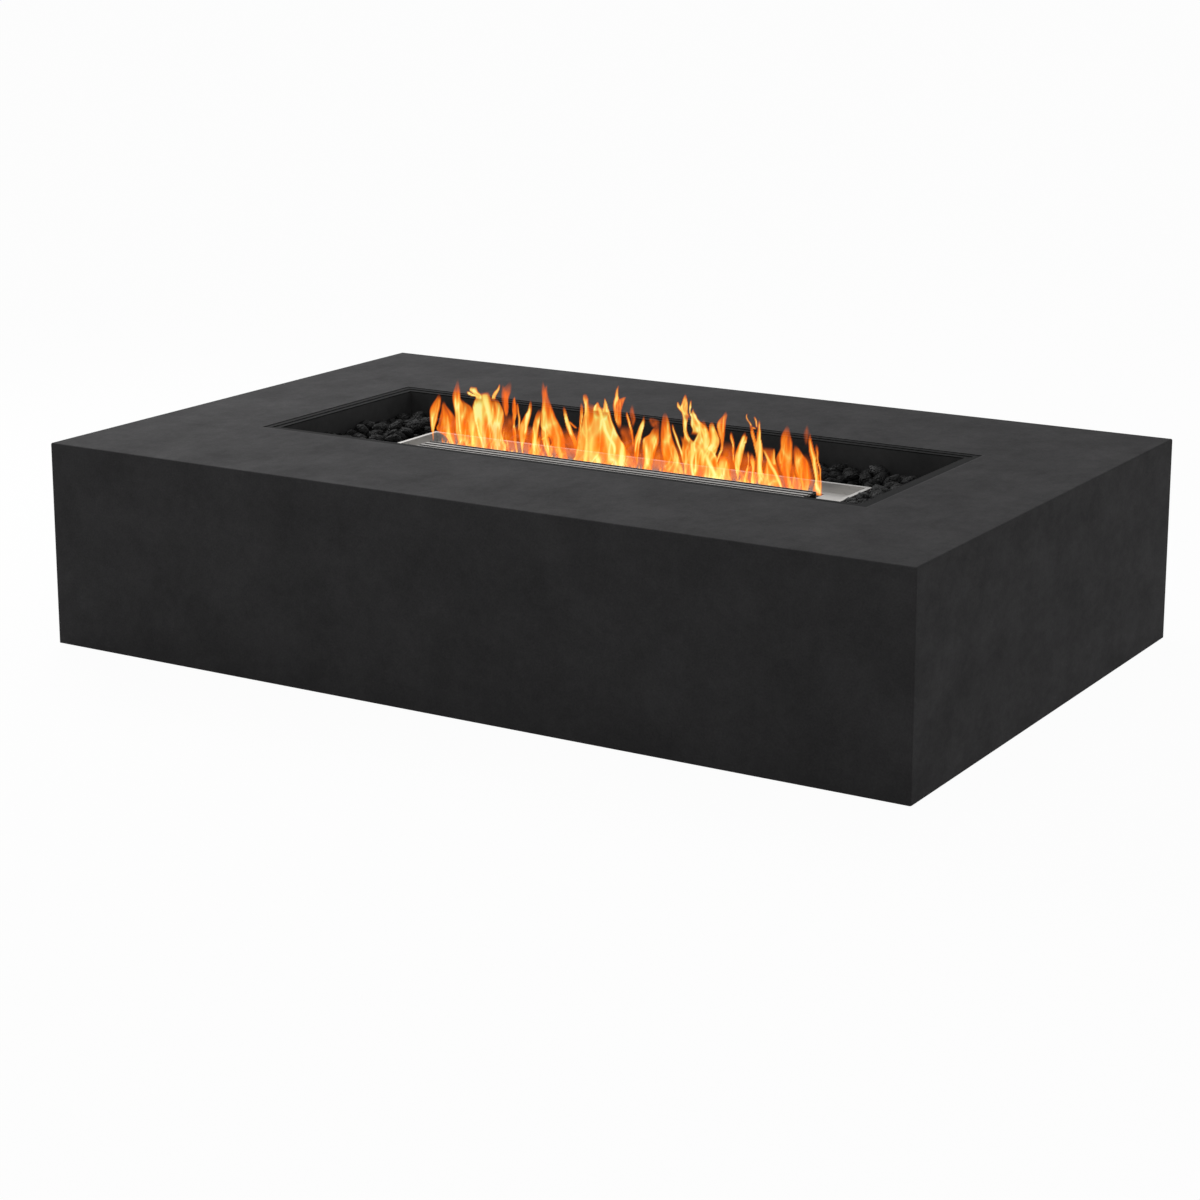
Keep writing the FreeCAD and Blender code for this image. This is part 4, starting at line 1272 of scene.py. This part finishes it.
    traced(BLADE, 0.9, 0.8, (404, 677.4, 678.8), (408, 678.2, 680.8), (412, 681, 684), (418, 683.1, 684.9),
           (432, 683.7, 685.2), (445, 689, 692)),
    traced(BLADE, 0.85, 0.7, (402, 690.1, 691), (407, 689.6, 691), (411, 689.8, 690.6)),
    traced(BLADE, 0.85, 0.75, (413, 692.6, 694.8), (418, 694, 697), (424, 697, 701), (438, 702, 708),
           (446, 702.4, 709.4), (454, 703, 709)),
    traced(BLADE, 1, 0.9, (452, 702, 708.6), (459, 704, 710.8), (472, 710.6, 717), (480, 714.6, 721)),
    traced(BLADE, 0.98, 0.8, (440, 690, 693.6), (448, 689.8, 694.8), (466, 690, 694.4), (476, 691, 695)),
    traced(BLADE, 0.88, 0.75, (430, 711, 714), (436, 711, 717), (442, 710.6, 717.6), (449, 711.4, 715.4)),
    traced(BLADE, 0.8, 0.6, (448, 684, 687), (456, 684.6, 688), (466, 684.4, 688)),
    traced(BLADE, 0.8, 0.6, (415, 723.8, 725.6), (421, 722.6, 724.8), (434, 722.6, 723.8)),
    traced(BLADE, 0.8, 0.7, (450, 721.2, 722.6), (456, 718.4, 720), (463, 715.6, 717.4)),
    traced(BLADE, 0.9, 0.6, (434, 730.1, 731.2), (438, 730.2, 732), (449, 732.8, 734)),
    traced(BLADE, 0.95, 0.85, (434, 743.6, 745), (440, 741.2, 744.6), (446, 738.8, 742.6),
           (453, 737.6, 741.4), (460, 736.6, 739)),
    traced(BLADE, 0.9, 0.7, (460, 734.9, 736.2), (467, 734.9, 736.8), (475, 736.2, 737.8)),
    traced(BLADE, 0.8, 0.6, (453, 747.2, 748.4), (460, 748, 749), (468, 747.4, 748.8), (476, 745, 747),
           (483, 743, 745.2)),
    traced(BLADE, 0.75, 0.6, (459, 750.4, 752), (465, 752, 754), (472, 753.2, 754.6)),
    traced(BLADE, 0.9, 0.8, (413.5, 747.4, 748.1), (415.5, 746.2, 747.5), (420.5, 747.3, 749.2),
           (423, 749.2, 751.4), (427, 751, 752.8)),
    traced(BLADE, 0.85, 0.7, (416.5, 753.8, 755.2), (419, 754.2, 756.4), (428, 755.6, 757.4)),
    traced(BLADE, 0.95, 0.85, (419, 758.3, 759.5), (450, 757.8, 762), (460, 757.4, 762), (480, 759, 764)),
    traced(BLADE, 0.7, 0.6, (427.3, 752, 754.5), (429, 752.4, 757)),
    traced(BLADE, 0.95, 0.75, (447, 761.8, 763.4), (452, 763, 766), (477, 774.6, 780), (487, 779, 783)),
    traced(BLADE, 0.85, 0.6, (448, 772.8, 774.4), (460, 772.4, 775.8), (466, 773, 776.8)),
    traced(BLADE, 0.62, 0.4, (434, 785.6, 787.4), (455, 784.6, 788.4), (477, 786.4, 790.4),
           (488, 788.4, 792.6)),
    traced(BLADE, 0.68, 0.5, (452, 779, 781), (458, 778.6, 782), (465, 779.8, 783)),
    traced(BLADE, 0.62, 0.45, (454, 797, 799.4), (462, 798.4, 801.6), (470, 799, 803), (479, 800.4, 803.4),
           (489, 801.8, 804)),
    traced(BLADE, 0.97, 0.7, (437, 808.6, 810), (443, 808.7, 811.4), (461, 812.4, 816.2),
           (486, 815.4, 817.4)),
    traced(BLADE, 0.8, 0.6, (446, 816, 817.2), (461, 817.8, 818.9), (468, 819.6, 820.8), (476, 820, 821),
           (490, 819.8, 820.8)),
)


def licks(seed: int, number: int, rise: Pair, half: Pair, glow: float, ends: Pair = (-400, 370),
          root: Pair = (299, 304), sway: float = 0.35, cooling: float = 0.55) -> tuple[Tongue, ...]:
    """Small tongues scattered along the slot.

    A lick is widest a quarter of the way up, 0.6 as wide two thirds up, and ends in a point.

    Args:
        seed: the seed of their places.
        number: how many.
        rise: the lowest and highest rise, in millimetres.
        half: the least and greatest half width, in millimetres.
        glow: the brightest foot.
        ends: the places along the slot between which they stand, in millimetres.
        root: the height of the foot and that from which the rise counts, in millimetres.
        sway: how far they lean, as a share of their rise.
        cooling: the share of the glow that is left at the tip.

    Returns:
        The tongues.
    """
    rng = np.random.default_rng(seed)
    made = []
    for _ in range(number):
        x, up, width = rng.uniform(*ends), rng.uniform(*rise), rng.uniform(*half)
        lean, hot = rng.normal(0, sway) * up, rng.uniform(0.4, 1) * glow
        foot, start = root
        made.append(flame(Fire.BODY, hot, hot * cooling, (foot, x, width * 0.9),
                          (start + 0.25 * up, x + 0.2 * lean, width),
                          (start + 0.65 * up, x + 0.6 * lean, width * 0.6), (start + up, x + lean, 0.4)))
    return tuple(made)


def mist() -> tuple[Tongue, ...]:
    """A row of broad faint veils along the whole slot."""
    return tuple(flame(Fire.VEIL, 0.46, 0.1, (297, x, 30), (310, x, 34), (335, x + 4, 28), (362, x + 10, 8))
                 for x in range(-378, 345, 35))


@dataclass(frozen=True)
class FlameSheet:
    """A thin waving sheet over the slot that carries a set of flame tongues.

    Reach is how far outside its knots a tongue still counts, and wobble and bend are how far
    noise moves its edges and the threads, all in metres. The edge's bleed is the share of its
    soft edge that lies outside the outline. Put_out, the height left when the lid is shut, is not used.
    """

    name: str
    wave: Wave
    tongues: tuple[Tongue, ...]
    step: float = 0.0015
    ends: Pair = (-0.432, 0.390)
    heights: Pair = (0.2985, 0.450)
    reach: float = 0.01
    wobble: float = 0.0022
    bend: float = 0.034
    edge_bleed: float = 0.15
    heat_curve: float = 1.3
    faintest: float = 0.004
    put_out: float = 0.02

    def threads(self, x: np.ndarray, z: np.ndarray) -> tuple[np.ndarray, np.ndarray]:
        """Rising bright threads: ridges of stretched noise that a slower noise bends.

        A ridge is 1 - |2 n - 1| of a noise n, raised to a power that sharpens it.

        Args:
            x: the places along the slot.
            z: the heights.

        Returns:
            The broad threads and the fine ones, from 0 to 1.
        """
        bend = (value_noise(x * 24 + 3, z * 15 + 9, 21) - 0.5) * self.bend
        broad = value_noise((x + bend) * 80 + z * 9, z * 15 + 4, 23)
        fine = value_noise((x - bend * 0.7) * 150 - z * 22, z * 27 + 8, 24)
        return (1 - np.abs(2 * broad - 1)) ** 2, (1 - np.abs(2 * fine - 1)) ** 2.5

    def stir(self, u: np.ndarray, t: np.ndarray, k: int) -> np.ndarray:
        """A slow noise that follows a tongue's curve, from -0.5 to 0.5.

        Args:
            u: the place across the tongue.
            t: the share of its height.
            k: the tongue's number, so that no two are stirred alike.

        Returns:
            The noise at each point.
        """
        slow = value_noise(u * 2.1 + k * 7.1, t * 2.4 + u * 0.8 + k * 3.3, 5)
        quick = value_noise(u * 4.2 + k * 2.1, t * 4.5 - u * 1.1 + k, 6)
        return (slow + quick) / 2 - 0.5

    def lay(self, x: np.ndarray, z: np.ndarray) -> tuple[np.ndarray, np.ndarray]:
        """Lay the tongues over each other in their order.

        Each tongue is full inside its outline and fades over a soft edge. Its heat runs from
        foot to tip and is stirred by a noise that follows its curve and by the bright threads.

        Args:
            x: the places along the slot.
            z: the heights.

        Returns:
            Heat and cover at each point.
        """
        heat, cover = np.zeros_like(x), np.zeros_like(x)
        broad, fine = self.threads(x, z)
        wobble = (value_noise(x * 120 + 5, z * 70 + 4, 31) - 0.5) * self.wobble
        for k, tongue in enumerate(self.tongues):
            blaze = BLAZES[tongue.kind]
            knots = np.array(tongue.knots) / 1000
            (low, left, _), (high, right, widest) = knots.min(0), knots.max(0)
            reach = widest + self.reach
            near = (z >= low) & (z <= high) & (x > left - reach) & (x < right + reach)
            xs, zs = x[near] + wobble[near], z[near]
            middle, half = tongue.curves(zs)
            u, t = (xs - middle) / half, (zs - low) / (high - low)
            stir = self.stir(u, t, k)
            hot = tongue.foot + (tongue.tip - tongue.foot) * t ** self.heat_curve
            hot += blaze.gain(u, stir, broad[near], fine[near])
            full = blaze.fullness(t) * tongue.shape_foot(t, stir, low < ROOTED_BELOW)
            share_of_half, thin, wide = blaze.soft
            soft = np.clip(share_of_half * half, thin, wide)
            inside = (half - np.abs(xs - middle)) / soft
            share = np.clip(ease(inside + self.edge_bleed) * full, 0, 1)
            mixed = heat[near] * (1 - share) + hot * share
            heat[near] = np.maximum(mixed, heat[near]) if tongue.kind is Fire.BLADE else mixed
            cover[near] = 1 - (1 - cover[near]) * (1 - share)
        return heat, cover

    def build(self) -> None:
        """Weave the sheet as a grid, keep the faces that glow, and let it ride with the burner."""
        x, z = np.meshgrid(np.arange(*self.ends, self.step), np.arange(*self.heights, self.step))
        heat, cover = self.lay(x, z)
        corner = np.arange(x.size).reshape(x.shape)
        quads = np.stack([corner[:-1, :-1], corner[:-1, 1:], corner[1:, 1:], corner[1:, :-1]], -1)
        quads = quads.reshape(-1, 4)
        quads = quads[cover.ravel()[quads].max(1) > self.faintest]
        used, quads = np.unique(quads, return_inverse=True)
        quads = quads.reshape(-1, 4)
        points = np.stack([x, self.wave.depth(x), z], -1).reshape(-1, 3)[used]
        piece = mesh_piece(self.name, points, quads)
        for name, values in (("flame_heat", heat), ("flame_cover", cover)):
            piece.data.attributes.new(name, "FLOAT", "POINT").data.foreach_set(
                "value", np.clip(values, 0, 1).ravel()[used].astype(np.float32))
        piece.data.materials.append(FLAME.material())
        FLAME.material().cycles.emission_sampling = "NONE"
        piece.visible_diffuse = piece.visible_glossy = piece.visible_shadow = False
        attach(piece, "burner")
        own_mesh(piece)
        LOG.info("%s: %d tongues, %d faces", piece.name, len(self.tongues), len(quads))


@dataclass(frozen=True)
class Flames:
    """The fire as the photograph caught it: stage dressing, since hot gas isn't a part."""

    def build(self) -> None:
        """A veil behind, the traced tongues in the middle, and small licks before them."""
        veils = tuple(t for t in TONGUES if t.kind is Fire.VEIL)
        bright = tuple(t for t in TONGUES if t.kind is not Fire.VEIL)
        faint = licks(seed=8, number=46, rise=(20, 50), half=(3, 7), glow=0.3)
        small = licks(seed=3, number=120, rise=(4, 16), half=(1.2, 3.0), glow=0.62)
        FlameSheet("flame_veil", BACK_WAVE, mist() + veils + faint).build()
        FlameSheet("flame_tongues", SLOT_WAVE, bright).build()
        FlameSheet("flame_licks", FRONT_WAVE, small).build()


@dataclass(frozen=True)
class DressedNodes:
    """Frame nodes that keep their own meshes and only take a finish."""

    title: str
    finish: Finish
    names: tuple[str, ...]

    def dress(self, nodes: dict[str, bpy.types.Object]) -> None:
        """Put the finish on each of the nodes.

        Args:
            nodes: the frame's nodes by name.
        """
        for name in self.names:
            self.finish.put_on(nodes[name])
        LOG.info("%s: %d nodes in %s", self.title, len(self.names), self.finish.name)


@dataclass(frozen=True)
class Studio:
    """A pale floor, soft light from above, and a camera at the photograph's angle.

    Levels are shares of a plain white. The lamp gives overhead of it to a surface that faces it.
    """

    sensor_width: float = 36.0
    white: float = 0.972
    floor_half: float = 60.0
    floor_share: float = 0.035
    floor_light: float = 0.966
    floor_bounce: float = 0.95
    sky: float = 0.24
    overhead: float = 0.10
    overhead_way: Triple = (0.02, -0.03, -1.0)
    overhead_spread: float = 40.0
    panel_place: Triple = (-1.9, 0.7, 2.1)
    panel_aim: Triple = (-0.2, 0.0, 0.36)
    panel_power: float = 32.0
    panel_side: float = 1.2

    def place(self, name: str, data: bpy.types.ID, place: Triple, way: Vector) -> bpy.types.Object:
        """Put a camera or a lamp into the scene.

        Args:
            name: its name.
            data: the camera or light.
            place: where it stands.
            way: the way it looks or shines.

        Returns:
            The object.
        """
        made = bpy.data.objects.new(name, data)
        made.location = place
        made.rotation_euler = way.to_track_quat("-Z", "Y").to_euler()
        bpy.context.scene.collection.objects.link(made)
        return made

    def camera(self) -> None:
        """A camera with the fitted way and focal length, whose axis meets the picture's middle row."""
        data = bpy.data.cameras.new("camera")
        data.sensor_width = self.sensor_width
        data.lens = PHOTO.focal_pixels / PHOTO.picture * data.sensor_width
        data.shift_y = PHOTO.middle_row / PHOTO.picture - 0.5
        data.clip_end = 500.0
        bpy.context.scene.camera = self.place("camera", data, PHOTO.place, Vector(PHOTO.way))

    def seen(self, graph: Graph) -> Socket:
        """1 where the camera, a reflection or a glass looks at the surface, else 0.

        Args:
            graph: the material's or the world's graph.

        Returns:
            The mask.
        """
        path = graph.node("LightPath").outputs
        looks = graph.math("MAXIMUM", path["Is Camera Ray"], path["Is Glossy Ray"])
        return graph.math("MAXIMUM", looks, path["Is Transmission Ray"])

    def floor(self) -> None:
        """A wide floor: white to the camera with a soft shadow, mid grey to bounced light."""
        h = self.floor_half
        points = np.array([[-h, -h, 0.0], [h, -h, 0.0], [h, h, 0.0], [-h, h, 0.0]])
        floor = mesh_piece("floor", points, np.array([[0, 1, 2, 3]]))
        made = bpy.data.materials.new("pale_floor")
        made.use_nodes = True
        made.node_tree.nodes.clear()
        graph = Graph(made.node_tree)
        seen = self.seen(graph)
        tone = graph.blend(seen, (self.floor_bounce,) * 3, (self.floor_share,) * 3)
        matt = graph.node("BsdfDiffuse", {"Color": tone}).outputs[0]
        strength = graph.times(seen, self.floor_light)
        lit = graph.node("Emission", {"Color": (1.0, 1.0, 1.0), "Strength": strength}).outputs[0]
        both = graph.node("AddShader", {0: matt, 1: lit}).outputs[0]
        graph.node("OutputMaterial", {"Surface": both})
        made.cycles.emission_sampling = "NONE"
        floor.data.materials.append(made)

    def world(self) -> None:
        """White to the camera and to reflections, a weaker sky for the light itself."""
        world = bpy.data.worlds.new("studio")
        bpy.context.scene.world = world
        world.use_nodes = True
        graph = Graph(world.node_tree)
        back = world.node_tree.nodes["Background"]
        back.inputs["Color"].default_value = (1.0, 1.0, 1.0, 1.0)
        graph.put(back.inputs["Strength"], graph.span(self.seen(graph), 0.0, 1.0, self.sky, self.white))

    def lamp(self) -> None:
        """A far soft lamp above the table."""
        data = bpy.data.lights.new("overhead_lamp", "SUN")
        data.energy = self.overhead * math.pi
        data.angle = math.radians(self.overhead_spread)
        self.place("overhead_lamp", data, (0.0, 0.0, 0.0), Vector(self.overhead_way))

    def panel(self) -> None:
        """A square soft panel to the left, which makes the near left of the top a little paler."""
        data = bpy.data.lights.new("left_panel", "AREA")
        data.energy = self.panel_power
        data.size = self.panel_side
        way = Vector(self.panel_aim) - Vector(self.panel_place)
        self.place("left_panel", data, self.panel_place, way)

    def build(self) -> None:
        """Set up camera, floor, world and lamps, with the plain view transform."""
        bpy.context.scene.view_settings.view_transform = "Standard"
        self.camera()
        self.floor()
        self.world()
        self.lamp()
        self.panel()
        LOG.info("studio: camera, floor, sky, a lamp and a panel")


@dataclass(frozen=True)
class FireTable:
    """The whole table: which finish each group of frame nodes takes, and the new pieces."""

    groups: tuple[DressedNodes, ...] = (
        DressedNodes("shell", CONCRETE, ("concrete_shell",)),
        DressedNodes("fire tray", LIGHTENED_TRAY_COAT, (
            "tray_floor", "tray_front_wall", "tray_rear_wall", "tray_left_wall", "tray_right_wall",
            "left_burner_cradle", "right_burner_cradle")),
        DressedNodes("tray flange", FLANGE_COAT, (
            "tray_front_flange", "tray_rear_flange", "tray_left_flange", "tray_right_flange")),
        DressedNodes("burner", STAINLESS, (
            "burner_surround", "burner_casing", "fuel_tank", "burner_throat", "tank_spacers",
            "flame_baffle")),
        DressedNodes("lid", SHADED_LID_STEEL, ("slide_lid",)),
        DressedNodes("rock bed", LAVA, ("rock_bed",)),
        DressedNodes("base frame", FRAME_COAT, (
            "front_rail", "rear_rail", "left_end_rail", "right_end_rail", "left_cross_rail",
            "right_cross_rail", "weld_bushes")),
        DressedNodes("hardware", ZINC, (
            "foot_pads", "foot_stems", "foot_lock_nuts", "anchor_inserts", "anchor_bolts")),
        DressedNodes("soles", RUBBER, ("foot_soles",)),
    )
    zones: tuple[RockZone, ...] = (
        RockZone("lava_rocks_left", 21, Break.TUMBLED),
        RockZone("lava_rocks_right", 22, Break.ANGULAR),
        RockZone("lava_rocks_front", 23, Break.ANGULAR),
        RockZone("lava_rocks_back", 24, Break.ANGULAR),
    )

    def build(self, nodes: dict[str, bpy.types.Object]) -> None:
        """Dress the frame's nodes, lay the loose rock and light the fire.

        Args:
            nodes: the frame's nodes by name.
        """
        for group in self.groups:
            group.dress(nodes)
        for zone in self.zones:
            zone.build()
        Flames().build()


def main() -> None:
    """Load the frame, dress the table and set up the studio."""
    logging.basicConfig(level=logging.INFO, format="%(name)s: %(message)s")
    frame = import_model()
    Studio().build()
    FireTable().build(frame["nodes"])


if __name__ == "__main__":
    main()
